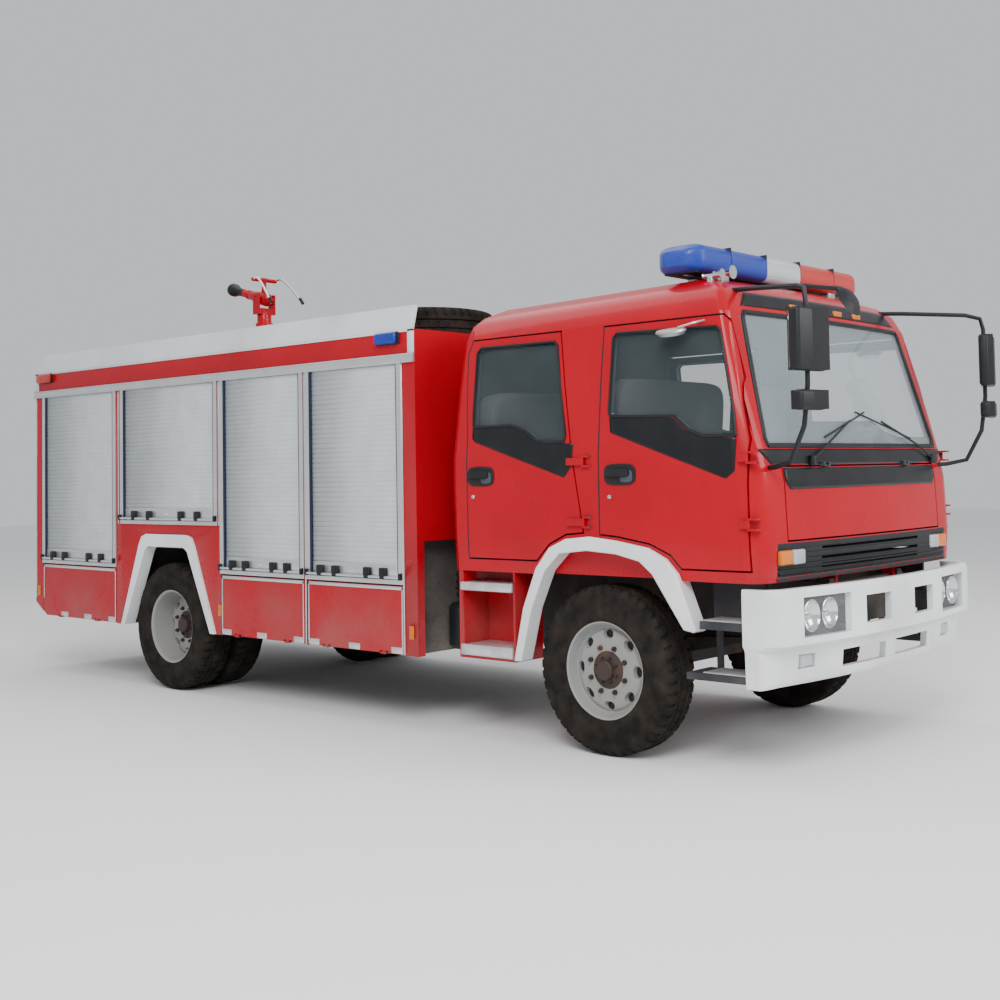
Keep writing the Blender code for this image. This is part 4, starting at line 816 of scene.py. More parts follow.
def pad(centre: Point, half: Point, sharp: float = 0.28, channels: int = 0, depth: float = 0.008,
        lean: float = 0.0) -> Skin:
    """A stuffed pad: a superellipsoid sign(n) * |n| ** sharp * half with sewn channels along its length.

    Args:
        centre: Its middle.
        half: Half of its sizes.
        sharp: Less is squarer.
        channels: Grooves across its width.
        depth: Their depth.
        lean: Angle about the x axis, in radians.

    Returns:
        The skin.
    """
    rows, turns = 40, 64
    tilt = np.linspace(-pi / 2 + 0.02, pi / 2 - 0.02, rows)
    turn = np.arange(turns) * tau / turns
    lat, lon = np.meshgrid(tilt, turn, indexing="ij")
    normal = np.stack([np.sin(lat), np.cos(lat) * np.cos(lon), np.cos(lat) * np.sin(lon)], -1)
    shape = np.sign(normal) * np.abs(normal) ** sharp
    if channels:
        groove = np.abs(np.cos(shape[..., 0] * pi * channels / 2)) ** 0.35
        shape[..., 2] *= 1.0 - (1.0 - groove) * depth / half[2]
    points = (shape * np.array(half)).reshape(-1, 3)
    return Skin(points, tube_faces(rows, turns)).turned(Matrix.Translation(centre) @ Matrix.Rotation(lean, 4, "X"))


def span_at(outline: np.ndarray, level: float) -> tuple[float, float]:
    """Find where a closed outline crosses a level.

    Args:
        outline: Its (y, z) points.
        level: The height.

    Returns:
        The least and the greatest y there.
    """
    nexts = np.roll(outline, -1, axis=0)
    low, high = np.minimum(outline[:, 1], nexts[:, 1]), np.maximum(outline[:, 1], nexts[:, 1])
    hit = (low <= level) & (high >= level) & (high - low > 1e-9)
    a, b = outline[hit], nexts[hit]
    y = a[:, 0] + (level - a[:, 1]) / (b[:, 1] - a[:, 1]) * (b[:, 0] - a[:, 0])
    return float(y.min()), float(y.max())


class Caster:
    """Finds the outer skin of CAD nodes by rays along an axis."""

    def __init__(self, *nodes: str) -> None:
        """Build one tree from the nodes' meshes.

        Args:
            nodes: The CAD nodes.
        """
        points: list = []
        faces: list = []
        for node in nodes:
            mesh = frame["nodes"][node].data
            shift = len(points)
            points += [v.co.copy() for v in mesh.vertices]
            faces += [[shift + i for i in p.vertices] for p in mesh.polygons]
        self.tree = BVHTree.FromPolygons(points, faces)

    def first(self, start: Point, way: Point, otherwise: float = 0.0) -> Vector:
        """Return the first point that a ray meets."""
        hit = self.tree.ray_cast(Vector(start), Vector(way))[0]
        return hit if hit is not None else Vector(start) + Vector(way) * otherwise

    def ahead(self, x: float, z: float, otherwise: float = 2.4) -> float:
        """Return the y at which a ray from ahead of the truck meets the nodes."""
        return self.first((x, AHEAD, z), (0, 1, 0), otherwise).y

    def above(self, x: float, y: float) -> float:
        """Return the z at which a ray from above the truck meets the nodes."""
        return self.first((x, y, ABOVE), (0, 0, -1), 1.2).z


CAB_SKIN = Caster("cab_shell")
PILLAR_U = 0.005  # how far behind the front axle the pillar is measured
HEIGHTS = np.linspace(1.33, 2.60, 48)
HALF_WIDTHS = np.array([abs(CAB_SKIN.first((-2.0, back(PILLAR_U), z), (1, 0, 0)).x) for z in HEIGHTS])


def cab_half(level: float | np.ndarray) -> float | np.ndarray:
    """Return the cab's half width at a height, as measured on the pillar between its doors."""
    return np.interp(level, HEIGHTS, HALF_WIDTHS)


def side_sheet(outline: Sequence[tuple[float, float]], inset: float, side: float, rows: int = 36,
               columns: int = 16) -> Skin:
    """A sheet that follows the cab's side inside a (behind axle, height) outline.

    Each row is the outline's span at that height, and x is the cab's half width there less the inset.

    Args:
        outline: Its (behind axle, height) points.
        inset: How far it lies inside the cab's skin.
        side: -1 on the right of the truck, 1 on the left.
        rows: Points from bottom to top.
        columns: Points from front to rear.

    Returns:
        The skin, open round its edge.
    """
    line = np.array(outline) + np.array([AXLE_Y, 0.0])
    levels = np.linspace(line[:, 1].min() + 1e-4, line[:, 1].max() - 1e-4, rows)
    spans = np.array([span_at(line, level) for level in levels])
    t = np.linspace(0, 1, columns)
    y = spans[:, :1] + (spans[:, 1:] - spans[:, :1]) * t
    z = np.repeat(levels[:, None], columns, 1)
    x = side * (cab_half(levels)[:, None] - inset) * np.ones_like(t)
    return Skin(np.stack([x, y, z], -1).reshape(-1, 3), grid_faces(rows, columns).tolist())


def front_sheet(nodes: Sequence[str], half: float | Callable[[float], float], low: float, high: float,
                proud: float, rows: int = 8, columns: int = 60) -> Skin:
    """A sheet laid on what faces forwards: y is where a ray from ahead meets the nodes, less its stand-off.

    Args:
        nodes: The CAD nodes it lies on.
        half: Its half width, or a function of height that gives it.
        low: Its lower edge.
        high: Its upper edge.
        proud: How far it stands off.
        rows: Points from bottom to top.
        columns: Points across.

    Returns:
        The skin, open round its edge.
    """
    caster = Caster(*nodes)
    points = []
    for z in np.linspace(low, high, rows):
        reach = half(z) if callable(half) else half
        for x in np.linspace(-reach, reach, columns):
            points.append((x, caster.ahead(x, z, 3.0) - proud, z))
    return Skin(np.array(points), grid_faces(rows, columns).tolist())


# ---------------------------------------------------------------- wheels
@dataclass
class Tyre:
    """Cross-ply lorry tyre with square shoulder lugs, a ribbed crown and ringed walls."""

    node: str
    axis: int = 0
    lugs: int = 46
    groove: float = 0.013

    def build(self) -> bpy.types.Object:
        """Make the tyre: r = profile(s) less a lug groove that depends on the angle and on s.

        Returns:
            The finished tyre.
        """
        low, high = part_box(self.node)
        centre = (low + high) / 2
        outer = (high[(self.axis + 1) % 3] - low[(self.axis + 1) % 3]) / 2
        half = (high[self.axis] - low[self.axis]) / 2
        bead = outer - 0.222
        knots = np.array([(bead, half - 0.036), (bead + 0.014, half - 0.016), (bead + 0.055, half - 0.006),
                          (bead + 0.110, half), (bead + 0.160, half - 0.006), (bead + 0.196, half - 0.016),
                          (outer - 0.012, half - 0.026), (outer - 0.004, half - 0.036), (outer, half - 0.062)])
        side = smooth_line(knots, 26)
        crown = np.stack([np.full(21, outer), np.linspace(half - 0.066, -(half - 0.066), 21)], -1)
        line = np.vstack([side, crown, side[::-1] * np.array([1.0, -1.0])])
        steps = self.lugs * 8
        angle = np.arange(steps) * tau / steps
        radius = np.repeat(line[:, :1], steps, 1)
        across = np.abs(line[:, 1]) / half
        tread = np.clip((radius - (outer - 0.030)) / 0.012, 0, 1)
        slant = np.sign(line[:, 1])[:, None] * across[:, None] * 0.5
        phase = (angle[None, :] * self.lugs / tau + slant) % 1.0
        lug = (phase < 0.30) & (across[:, None] > 0.42)
        rib = (np.abs(across - 0.24) < 0.045)[:, None] & np.ones_like(lug)
        zig = (phase < 0.18) & (across[:, None] < 0.20)
        radius = radius - self.groove * tread * np.where(lug | rib, 1.0, np.where(zig, 0.5, 0.0))
        ring = 0.0016 * (np.sin((radius - bead) * tau / 0.018) > 0.75) * (radius < bead + 0.13)
        along = line[:, 1][:, None] + np.sign(line[:, 1])[:, None] * (ring - 0.0016)
        inner = np.array([(bead - 0.002, -(half - 0.040)), (bead + 0.004, 0.0), (bead - 0.002, half - 0.040)])
        liner = turned_points(inner[:, :1], inner[:, 1:], self.axis, steps)
        points = np.concatenate([turned_points(radius, along, self.axis, steps), liner])
        skin = Skin(points.reshape(-1, 3) + np.array(centre), grid_faces(len(points), steps, True, True).tolist())
        item = fitting(self.node + "_tread", skin, Finish.RUBBER, BODY_OF[self.node], 28.0)
        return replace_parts(item, self.node)


@dataclass
class Wheel:
    """Pressed disc wheel with oval hand holes, shown as dents each holding a black plate of painted shade, a ring of
    nuts and a hub.
    """

    suffix: str
    side: float
    front: bool
    holes: int = 8
    nuts: int = 8
    hole_ring: float = 0.212
    rim: float = 0.290
    samples: int = 90

    def disc(self, profile: np.ndarray, centre: Vector, ring: float, size: tuple[float, float]) -> Skin:
        """A turned disc whose face sinks at each hand hole.

        The profile is (radius, along); within an ellipse round each hole centre on the ring, along goes
        inwards by up to 40 mm.

        Args:
            profile: Its (radius, along) points.
            centre: The wheel's centre.
            ring: Radius of the circle of hole centres.
            size: Half sizes of a hole, along the radius and round the ring.

        Returns:
            The skin, open at both ends.
        """
        steps = 240
        line = smooth_line(profile, self.samples)
        angle = np.arange(steps) * tau / steps
        radius = np.repeat(line[:, :1], steps, 1)
        along = np.repeat(line[:, 1:], steps, 1)
        sector = tau / self.holes
        off = (angle + sector / 2) % sector - sector / 2
        reach = ((radius - ring) / size[0]) ** 2 + (radius * off[None, :] / size[1]) ** 2
        sink = 0.040 * np.clip((1.0 - reach) * 4.0, 0, 1) * (np.arange(self.samples) > 8)[:, None]
        along = along - sink
        points = turned_points(radius, self.side * along, 0, steps)
        return Skin(points.reshape(-1, 3) + np.array(centre), grid_faces(self.samples, steps, False, True).tolist())

    def nut_ring(self, centre: Vector, ring: float, base: float, count: int, flat: float = 0.016) -> Skin:
        """Hexagonal nuts, each with its stud, evenly round a ring.

        Args:
            centre: The wheel's centre.
            ring: Radius of their circle.
            base: Distance of their seats from the middle plane.
            count: How many.
            flat: Radius of a nut.

        Returns:
            The skin.
        """
        skins = []
        for number in range(count):
            angle = (number + 0.5) * tau / count
            place = centre + Vector((0.0, ring * cos(angle), ring * sin(angle)))
            near, far = self.side * base, self.side * (base + 0.020)
            skins.append(lathe([(0.0, near), (flat, near), (flat, far), (0.0, far)], place, 0, 6))
            stud = self.side * (base + 0.034)
            skins.append(lathe([(0.0, near), (flat * 0.5, near), (flat * 0.5, stud), (0.0, stud)], place, 0, 10))
        return gathered(skins)

    def build(self) -> None:
        """Make the wheel's disc, rim, the black plates of painted shade in its hand holes, hub, nuts and hub bolts."""
        node = ("front_rim_" if self.front else "rear_rim_") + self.suffix
        body = BODY_OF[node]
        low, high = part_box(node)
        centre = Vector((0.0, (low.y + high.y) / 2, (low.z + high.z) / 2))
        tyre_low, tyre_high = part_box(("front_tyre_" if self.front else "rear_tyre_outer_") + self.suffix)
        lip = max(abs(tyre_low.x), abs(tyre_high.x)) - 0.022
        face = lip - (0.045 if self.front else 0.150)
        outer = self.rim
        profile = np.array([(outer + 0.010, lip - 0.014), (outer + 0.012, lip - 0.004), (outer, lip),
                            (outer - 0.012, lip - 0.006), (outer - 0.022, lip - 0.030),
                            (outer - 0.040, face - 0.020), (outer - 0.062, face - 0.006), (outer - 0.095, face),
                            (0.165, face + 0.002), (0.140, face + 0.004), (0.112, face + 0.004)])
        disc = self.disc(profile, centre, self.hole_ring, (0.026, 0.036))
        back_face = lathe([(0.112, self.side * (face - 0.016)), (outer - 0.044, self.side * (face - 0.050)),
                           (outer + 0.006, self.side * (lip - 0.050)), (outer + 0.010, self.side * (lip - 0.014))],
                          centre, 0, 240)
        back_face.faces = back_face.faces[:-2]
        item = fitting(node + "_disc", disc + back_face, Finish.WHEEL, body, 40.0)
        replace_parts(item, node)
        inner = min(abs(low.x), abs(high.x))
        barrel = lathe([(outer - 0.020, self.side * (lip - 0.040)), (outer - 0.026, self.side * (inner + 0.020)),
                        (outer + 0.004, self.side * inner), (outer + 0.006, self.side * (lip - 0.040))],
                       centre, 0, 72, closed=True)
        fitting(node + "_barrel", barrel, Finish.WHEEL, body)
        # Each hand hole is a dent, not a cut: a thin black plate laid in it is painted shade for the dark seen through
        # a real hole.
        hole_shade_plates = []
        for number in range(self.holes):
            angle = number * tau / self.holes
            place = centre + Vector((self.side * (face - 0.030), self.hole_ring * cos(angle),
                                     self.hole_ring * sin(angle)))
            half = (0.026, 0.033) if abs(cos(angle)) > 0.7 else (0.033, 0.026)
            hole_shade_plates.append(badge(place, half, 0.001, self.side, 0.9))
        fitting(node + "_hand_hole_shade", gathered(hole_shade_plates), Finish.BLACK, body)
        tip = face + 0.055
        hub = [(0.0, tip), (0.052, tip), (0.060, tip - 0.010), (0.062, face + 0.020), (0.092, face + 0.012),
               (0.112, face + 0.004), (0.112, face - 0.080), (0.060, face - 0.100), (0.060, inner + 0.02),
               (0.0, inner + 0.02)]
        fitting(node + "_hub", lathe([(r, self.side * x) for r, x in hub], centre, 0, 40), Finish.HUB, body, 30.0)
        fitting(node + "_nuts", self.nut_ring(centre, 0.137, face - 0.002, self.nuts), Finish.HUB, body, 20.0)
        fitting(node + "_hub_bolts", self.nut_ring(centre, 0.078, face + 0.008, 8, 0.007), Finish.HUB, body, 20.0)


# ---------------------------------------------------------------- locker body
@dataclass(frozen=True)
class Bay:
    """One locker opening: how far behind the front axle it starts and ends, and where its curtain stops."""

    front: float
    rear: float
    sill: float


@dataclass
class LockerBody:
    """Everything fixed to the rear body: curtains, guides, bars, lamps, trim strips and markers."""

    bays: tuple[Bay, ...] = (Bay(1.579, 2.592, 0.950), Bay(2.616, 3.629, 0.950), Bay(3.665, 5.035, 1.315),
                             Bay(5.104, 6.319, 0.950))
    top: float = 2.424
    slat: float = 0.034
    recess: float = 1.2375
    skin: float = 1.2455
    strip: float = 1.2500
    band: float = 1.2520
    lip: float = 0.032
    foot: float = 0.490
    rail: tuple[float, float] = (2.431, 2.482)
    handles: tuple[float, ...] = (0.185, 0.345, 0.675, 0.835)
    rear_slats: int = 37

    def curtain(self, bay: Bay, side: float) -> Skin:
        """Roller curtain: x swells by 4 mm over each slat and drops to a hinge line between them.

        Args:
            bay: The opening it closes.
            side: -1 on the right of the truck, 1 on the left.

        Returns:
            The skin, open round its edge.
        """
        low, high = bay.sill + self.lip, self.top
        count = int(round((high - low) / self.slat))
        z = np.linspace(low, high, count * 8 + 1)
        phase = (z - low) / (high - low) * count % 1.0
        x = self.recess + 0.0030 + 0.0040 * np.abs(np.sin(phase * pi)) ** 0.15
        y = np.array([bay.front + 0.047, bay.rear - 0.047]) + AXLE_Y
        points = np.stack(np.broadcast_arrays(side * x[:, None], y[None, :], z[:, None]), -1)
        return Skin(points.reshape(-1, 3), grid_faces(len(z), 2).tolist())

    def build_curtains(self, suffix: str, side: float) -> None:
        """Make one side's curtains with their guides, lift bars, handles and locks.

        Args:
            suffix: The ending of that side's names, r or l.
            side: -1 on the right of the truck, 1 on the left.
        """
        slats, guides, bars, blocks, locks = [], [], [], [], []
        for bay in self.bays:
            front, rear = back(bay.front), back(bay.rear)
            slats.append(self.curtain(bay, side))
            for edge, width in ((rear - 0.058, 0.024), (front + 0.047, 0.010)):
                guides.append(slab((side * self.recess, edge - width / 2, bay.sill + self.lip),
                                   (side * 1.2555, edge + width / 2, self.top), 0.002))
            level = bay.sill + 0.046
            bars.append(slab((side * 1.240, front + 0.052, level - 0.014), (side * 1.250, rear - 0.074, level + 0.086),
                             0.003))
            bars.append(pipe([(side * 1.268, front + 0.012, level), (side * 1.268, rear - 0.012, level)], 0.009, 12))
            for share in self.handles:
                y = front + (rear - front) * share
                blocks.append(slab((side * 1.248, y - 0.034, level - 0.006), (side * 1.276, y + 0.034, level + 0.062),
                                   0.007))
                blocks.append(slab((side * 1.270, y - 0.020, level - 0.014), (side * 1.282, y + 0.020, level + 0.020),
                                   0.005))
            for y in (front + 0.016, rear - 0.016):
                blocks.append(slab((side * 1.250, y - 0.010, level - 0.016), (side * 1.280, y + 0.010, level + 0.030),
                                   0.004))
            locks.append(lathe([(0.0, side * 1.246), (0.010, side * 1.246), (0.010, side * 1.254),
                                (0.0, side * 1.256)], (0.0, (front + rear) / 2 + 0.02, level + 0.034), 0, 16))
        fitting("curtains_" + suffix, gathered(slats), Finish.CURTAIN, "chassis", 80.0, 0.0, 0.0006)
        fitting("curtain_guides_" + suffix, gathered(guides), Finish.GUIDE, "chassis")
        fitting("lift_bars_" + suffix, gathered(bars), Finish.TRIM, "chassis")
        fitting("lift_handles_" + suffix, gathered(blocks), Finish.BLACK, "chassis")
        fitting("curtain_locks_" + suffix, gathered(locks), Finish.CHROME, "chassis")

    def build_strips(self, suffix: str, side: float) -> None:
        """Make the alloy edge strips, the band's ends, the rain rail's lips, the side lamps and the markers.

        Args:
            suffix: The ending of that side's names, r or l.
            side: -1 on the right of the truck, 1 on the left.
        """
        strips = []
        y_front, y_rear = BODY_LOW.y, BODY_HIGH.y
        for y, width in ((y_front + 0.128, 0.012), (y_rear - 0.014, 0.016)):
            low = self.foot if y < y_rear - 0.1 else 0.640
            strips.append(slab((side * self.skin, y - width / 2, low),
                               (side * self.strip, y + width / 2, self.top), 0.002))
        for first, second in zip(self.bays, self.bays[1:]):
            gap = back((first.rear + second.front) / 2)
            sill = max(first.sill, second.sill)
            low = sill if sill > 1.0 else self.foot
            strips.append(slab((side * self.skin, gap - 0.007, low), (side * self.strip, gap + 0.007, self.top), 0.002))
        band = [slab((side * self.skin, y0, 2.4885), (side * self.band, y1, 2.646), 0.002)
                for y0, y1 in ((y_front, y_front + 0.062), (y_rear - 0.062, y_rear))]
        band.append(slab((side * self.skin, y_front, 2.632), (side * self.band, y_rear, 2.646), 0.002))
        fitting("band_ends_" + suffix, gathered(band), Finish.COAMING, "chassis")
        fitting("edge_strips_" + suffix, gathered(strips), Finish.TRIM, "chassis")
        rail = [slab((side * 1.2632, y_front, z - 0.004), (side * 1.2700, y_rear, z + 0.004), 0.002)
                for z in self.rail]
        fitting("rail_lips_" + suffix, gathered(rail), Finish.TRIM, "chassis")
        for name, near, far, finish in (("front", 1.600, 1.810, Finish.BLUE),
                                        ("rear", 6.150, 6.375, Finish.BEACON_RED)):
            base = slab((side * self.skin, back(near) - 0.006, 2.553), (side * 1.2560, back(far) + 0.006, 2.640),
                        0.006)
            lens = slab((side * 1.2560, back(near), 2.558), (side * 1.2900, back(far), 2.635), 0.022, 20, 10)
            fitting("side_lamp_base_%s_%s" % (name, suffix), base, Finish.BLACK, "chassis")
            fitting("side_lamp_%s_%s" % (name, suffix), lens, finish, "chassis")
        amber = [slab((side * self.skin, back(u) - 0.022, z - 0.045),
                      (side * 1.2530, back(u) + 0.022, z + 0.045), 0.004)
                 for u, z in ((1.507, 0.640), (3.642, 0.670), (6.385, 0.700))]
        fitting("side_markers_" + suffix, gathered(amber), Finish.AMBER, "chassis")

    def build_flap_trim(self, suffix: str, side: float) -> None:
        """Make each fold-down flap's alloy frame and its reflective patches.

        Args:
            suffix: The ending of that side's names, r or l.
            side: -1 on the right of the truck, 1 on the left.
        """
        for node in [name for name in frame["nodes"] if name.startswith("step_flap_") and name.endswith(suffix)]:
            low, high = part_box(node)
            face = side * 1.2453
            out = side * 1.2490
            y0, y1 = low.y + 0.004, high.y - 0.004
            rearmost = high.y > 3.5
            refined(node, Finish.RED)
            strips = [slab((face, y0, high.z - 0.026), (out, y1, high.z - 0.004), 0.0015),
                      slab((face, y0, 0.520), (out, y0 + 0.012, high.z - 0.006), 0.0015),
                      slab((face, y1 - 0.012, 0.640 if rearmost else 0.520), (out, y1, high.z - 0.006), 0.0015)]
            fitting(node + "_frame", gathered(strips), Finish.TRIM, node)
            places = (y0 + 0.060, (y0 + y1) / 2 - (0.15 if rearmost else 0.0), y1 - (0.36 if rearmost else 0.060))
            patches = [slab((face, y - 0.058, 0.492), (side * 1.2480, y + 0.058, 0.534), 0.001) for y in places]
            fitting(node + "_patches", gathered(patches), Finish.TRIM, node)

    def build(self) -> None:
        """Make both sides and the rear, and show the shell and the roof coaming."""
        for suffix, side in SIDES:
            self.build_curtains(suffix, side)
            self.build_strips(suffix, side)
            self.build_flap_trim(suffix, side)
            refined("rear_flare_" + suffix, Finish.WHITE, 0.004)
            refined("shutters_" + suffix, Finish.TRIM, 0.0015)

        def sheltered(middles: np.ndarray, normals: np.ndarray) -> np.ndarray:
            """Say which faces lie inside the arches, the flap bays and the bay behind the cab.

            Args:
                middles: The faces' middles.
                normals: Their normals.

            Returns:
                One truth value for each face.
            """
            return ((middles[:, 2] < 1.33) & (np.abs(middles[:, 0]) < 1.235) & (middles[:, 1] < BODY_HIGH.y - 0.02)
                    & (middles[:, 1] > BODY_LOW.y + 0.001))

        refined("body_shell", Finish.RED, 0.0, 32.0, Finish.CHASSIS, sheltered)
        refined("roof_coaming", Finish.COAMING, 0.003)
        refined("rear_shutter", Finish.TRIM, 0.0015)
        self.build_rear()

    def build_rear(self) -> None:
        """Make the rear curtain, its bar and the tail lamps."""
        low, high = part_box("rear_shutter")
        z = np.linspace(low.z + 0.034, high.z - 0.034, self.rear_slats * 8 + 1)
        phase = np.linspace(0, self.rear_slats, len(z)) % 1.0
        y = high.y - 0.0150 + 0.0040 * np.abs(np.sin(phase * pi)) ** 0.15
        x = np.array([low.x + 0.047, high.x - 0.047])
        points = np.stack(np.broadcast_arrays(x[None, :], y[:, None], z[:, None]), -1)
        fitting("rear_curtain", Skin(points.reshape(-1, 3), grid_faces(len(z), 2).tolist()), Finish.CURTAIN,
                "chassis", 80.0, 0.0, 0.0006)
        bar = slab((low.x + 0.050, high.y - 0.014, low.z + 0.030), (high.x - 0.050, high.y + 0.010, low.z + 0.062),
                   0.005)
        fitting("rear_lift_bar", bar, Finish.TRIM, "chassis")
        rear = BODY_HIGH.y
        for suffix, side in SIDES:
            for number, finish in enumerate((Finish.AMBER, Finish.BEACON_RED, Finish.BEACON_CLEAR)):
                z0 = 0.700 + 0.125 * number
                lamp = slab((side * 1.080, rear + 0.0005, z0), (side * 1.200, rear + 0.028, z0 + 0.115), 0.014, 20, 10)
                fitting("tail_lamp_%d_%s" % (number, suffix), lamp, finish, "chassis")


# ---------------------------------------------------------------- cab
@dataclass
class Cab:
    """The cab's glass, garnish, handles, nose, lamps, wipers, steps and inside."""

    front_window: tuple = ((-1.005, 1.862), (-0.790, 1.866), (-0.690, 1.905), (-0.590, 1.985), (-0.130, 2.000),
                           (-0.120, 2.030), (-0.125, 2.465), (-0.150, 2.492), (-0.850, 2.475), (-0.880, 2.450),
                           (-0.985, 2.000))
    rear_window: tuple = ((0.985, 1.975), (0.660, 1.975), (0.540, 1.940), (0.440, 1.875), (0.370, 1.862),
                          (0.215, 1.862), (0.210, 1.900), (0.310, 2.455), (0.335, 2.480), (0.960, 2.485),
                          (0.990, 2.455), (0.990, 2.050))
    front_garnish: tuple = ((-1.010, 1.856), (-0.780, 1.860), (-0.680, 1.899), (-0.580, 1.979), (-0.125, 1.994),
                            (-0.135, 1.905), (-0.940, 1.628), (-1.000, 1.668))
    rear_garnish: tuple = ((0.990, 1.969), (0.655, 1.969), (0.535, 1.934), (0.435, 1.869), (0.365, 1.856),
                           (0.145, 1.856), (0.150, 1.720), (0.215, 1.646), (0.970, 1.880), (0.992, 1.905))
    proud: float = 0.0015
    louvre: tuple = ((-0.006, -0.010), (-0.010, -0.004), (-0.006, 0.002), (0.014, 0.009), (0.014, 0.000))
    louvres: int = 6
    seat_base: tuple[float, float] = (1.106, 1.412)

    def build_doors(self, suffix: str, side: float) -> None:
        """Make one side's panes, garnishes, seals, handles and keyholes.

        Args:
            suffix: The ending of that side's names, r or l.
            side: -1 on the right of the truck, 1 on the left.
        """
        sets = (("front_door_", self.front_window, self.front_garnish, -0.210, -0.130),
                ("rear_door_", self.rear_window, self.rear_garnish, 0.910, 0.980))
        for stem, window, garnish, grip, key in sets:
            door = stem + suffix
            line = np.array([(back(u), z) for u, z in window])
            low_z, high_z = line[:, 1].min(), line[:, 1].max()

            def inner(middles: np.ndarray, normals: np.ndarray) -> np.ndarray:
                """Say which faces look inwards or lie in the window's reveal.

                Args:
                    middles: The faces' middles.
                    normals: Their normals.

                Returns:
                    One truth value for each face.
                """
                levels = np.clip(middles[:, 2], low_z + 0.002, high_z - 0.002)
                spans = np.array([span_at(line, level) for level in levels])
                reveal = ((middles[:, 1] > spans[:, 0] - 0.008) & (middles[:, 1] < spans[:, 1] + 0.008)
                          & (middles[:, 2] > low_z - 0.004) & (middles[:, 2] < high_z + 0.004)
                          & (np.abs(normals[:, 0]) < 0.7))
                return (normals[:, 0] * side < -0.5) | reveal

            refined(door, Finish.RED, 0.0, 32.0, Finish.DASH, inner)
            fitting(door + "_pane", side_sheet(window, 0.022, side), Finish.PANE, door, 35.0, 0.0, 0.004)
            fitting(door + "_garnish", side_sheet(garnish, -0.0012, side), Finish.GARNISH, door, 35.0, 0.0, 0.0016)
            rim = [(side * (cab_half(z) + 0.0005), back(u), z) for u, z in window]
            fitting(door + "_seal", pipe(rim + rim[:1], 0.0085, 8), Finish.BLACK, door)
            height = 1.660
            x = cab_half(height)
            plate = badge((side * x, back(grip), height), (0.115, 0.062), 0.008, side)
            dish = badge((side * (x + 0.006), back(grip) - 0.050, height - 0.010), (0.045, 0.036), 0.004, side)
            paddle = badge((side * (x + 0.007), back(grip) + 0.012, height + 0.010), (0.088, 0.024), 0.020, side)
            fitting(door + "_handle_plate", plate, Finish.BLACK, door)
            fitting(door + "_handle_dish", dish, Finish.DASH, door)
            fitting(door + "_handle", paddle, Finish.BLACK, door)
            keyhole = lathe([(0.0, side * (x + 0.008)), (0.010, side * (x + 0.008)), (0.013, side * (x + 0.004)),
                             (0.013, side * (x - 0.004)), (0.0, side * (x - 0.004))], (0.0, back(key), 1.530), 0, 20)
            fitting(door + "_lock", keyhole, Finish.CHROME, door)

    def build_nose(self) -> None:
        """Make the black panels of the nose and brow, the louvred grille, the markers and the turn signals."""
        def reach(level: float) -> float:
            """Return the nose panel's half width at a height."""
            return float(np.interp(level, (1.558, 1.784), (0.877, 1.120)))

        def lid_reach(level: float) -> float:
            """Return the same, kept inside the lid's edges."""
            return min(reach(level), 0.926)

        def header_reach(level: float) -> float:
            """Return the half width of the panel over the windscreen at a height."""
            return float(np.interp(level, (2.600, 2.690), (0.930, 0.840)))

        lower = front_sheet(["front_lid"], lid_reach, 1.562, 1.680, self.proud)
        fitting("nose_panel_lower", lower, Finish.GARNISH, "front_lid", 35.0, 0.0, 0.002)
        upper = front_sheet(["cab_shell"], reach, 1.700, 1.785, self.proud)
        fitting("nose_panel_upper", upper, Finish.GARNISH, "cab", 35.0, 0.0, 0.002)
        header = front_sheet(["cab_shell"], header_reach, 2.602, 2.690, self.proud)
        fitting("header_panel", header, Finish.GARNISH, "cab", 35.0, 0.0, 0.002)
        valance = front_sheet(["cab_shell"], 1.040, 1.063, 1.084, self.proud)
        fitting("nose_valance", valance, Finish.PANEL, "cab", 35.0, 0.0, 0.002)
        brow = Caster("cab_shell")
        lamps = []
        for x in (-0.380, -0.130, 0.130, 0.380):
            y = brow.ahead(x, 2.630)
            lamps.append(slab((x - 0.050, y - 0.014, 2.612), (x + 0.050, y + 0.006, 2.646), 0.008, 20, 10))
        fitting("marker_lamps", gathered(lamps), Finish.AMBER, "cab")
        low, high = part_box("grille")
        face = Caster("grille")
        louvres = []
        section = np.array(self.louvre)
        for number in range(self.louvres):
            level = low.z + 0.020 + (high.z - low.z - 0.040) * number / (self.louvres - 1)
            x = np.linspace(low.x + 0.012, high.x - 0.012, 50)
            y = np.array([face.ahead(v, low.z + 0.008) for v in x])
            points = np.stack(np.broadcast_arrays(x[:, None], y[:, None] + section[None, :, 0],
                                                  level + section[None, :, 1]), -1)
            louvres.append(Skin(points.reshape(-1, 3), tube_faces(len(x), len(section))))
        fitting("grille_louvres", gathered(louvres), Finish.BLACK, "cab", 30.0)
        dressed("grille", Finish.BLACK)
        for suffix, side in SIDES:
            for name, near, far, finish in (("outer", 0.905, 1.030, Finish.AMBER),
                                            ("inner", 0.785, 0.903, Finish.BEACON_CLEAR)):
                y = min(face.ahead(side * v, 1.10) for v in (near, far))
                lamp = slab((side * near, y - 0.020, 1.150), (side * far, y + 0.020, 1.232), 0.012, 20, 10)
                fitting("turn_signal_%s_%s" % (name, suffix), lamp, finish, "cab")

    def build_screen(self) -> None:
        """Make the windscreen's glass, its seal and the wipers."""
        refined("windscreen", Finish.SCREEN, 0.0, 60.0)
        low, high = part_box("windscreen")
        caster = Caster("windscreen")

        bottom, top = low.z + 0.004, high.z - 0.006
        wide, narrow = high.x - 0.006, 0.940

        def on_glass(x: float, z: float, proud: float) -> Point:
            """Return the point that stands that far off the glass."""
            return x, caster.ahead(x, z, 2.5) - proud, z

        def across(z: float) -> float:
            """Return the glass's half width at a height."""
            return float(np.interp(z, (bottom, top), (wide, narrow)))

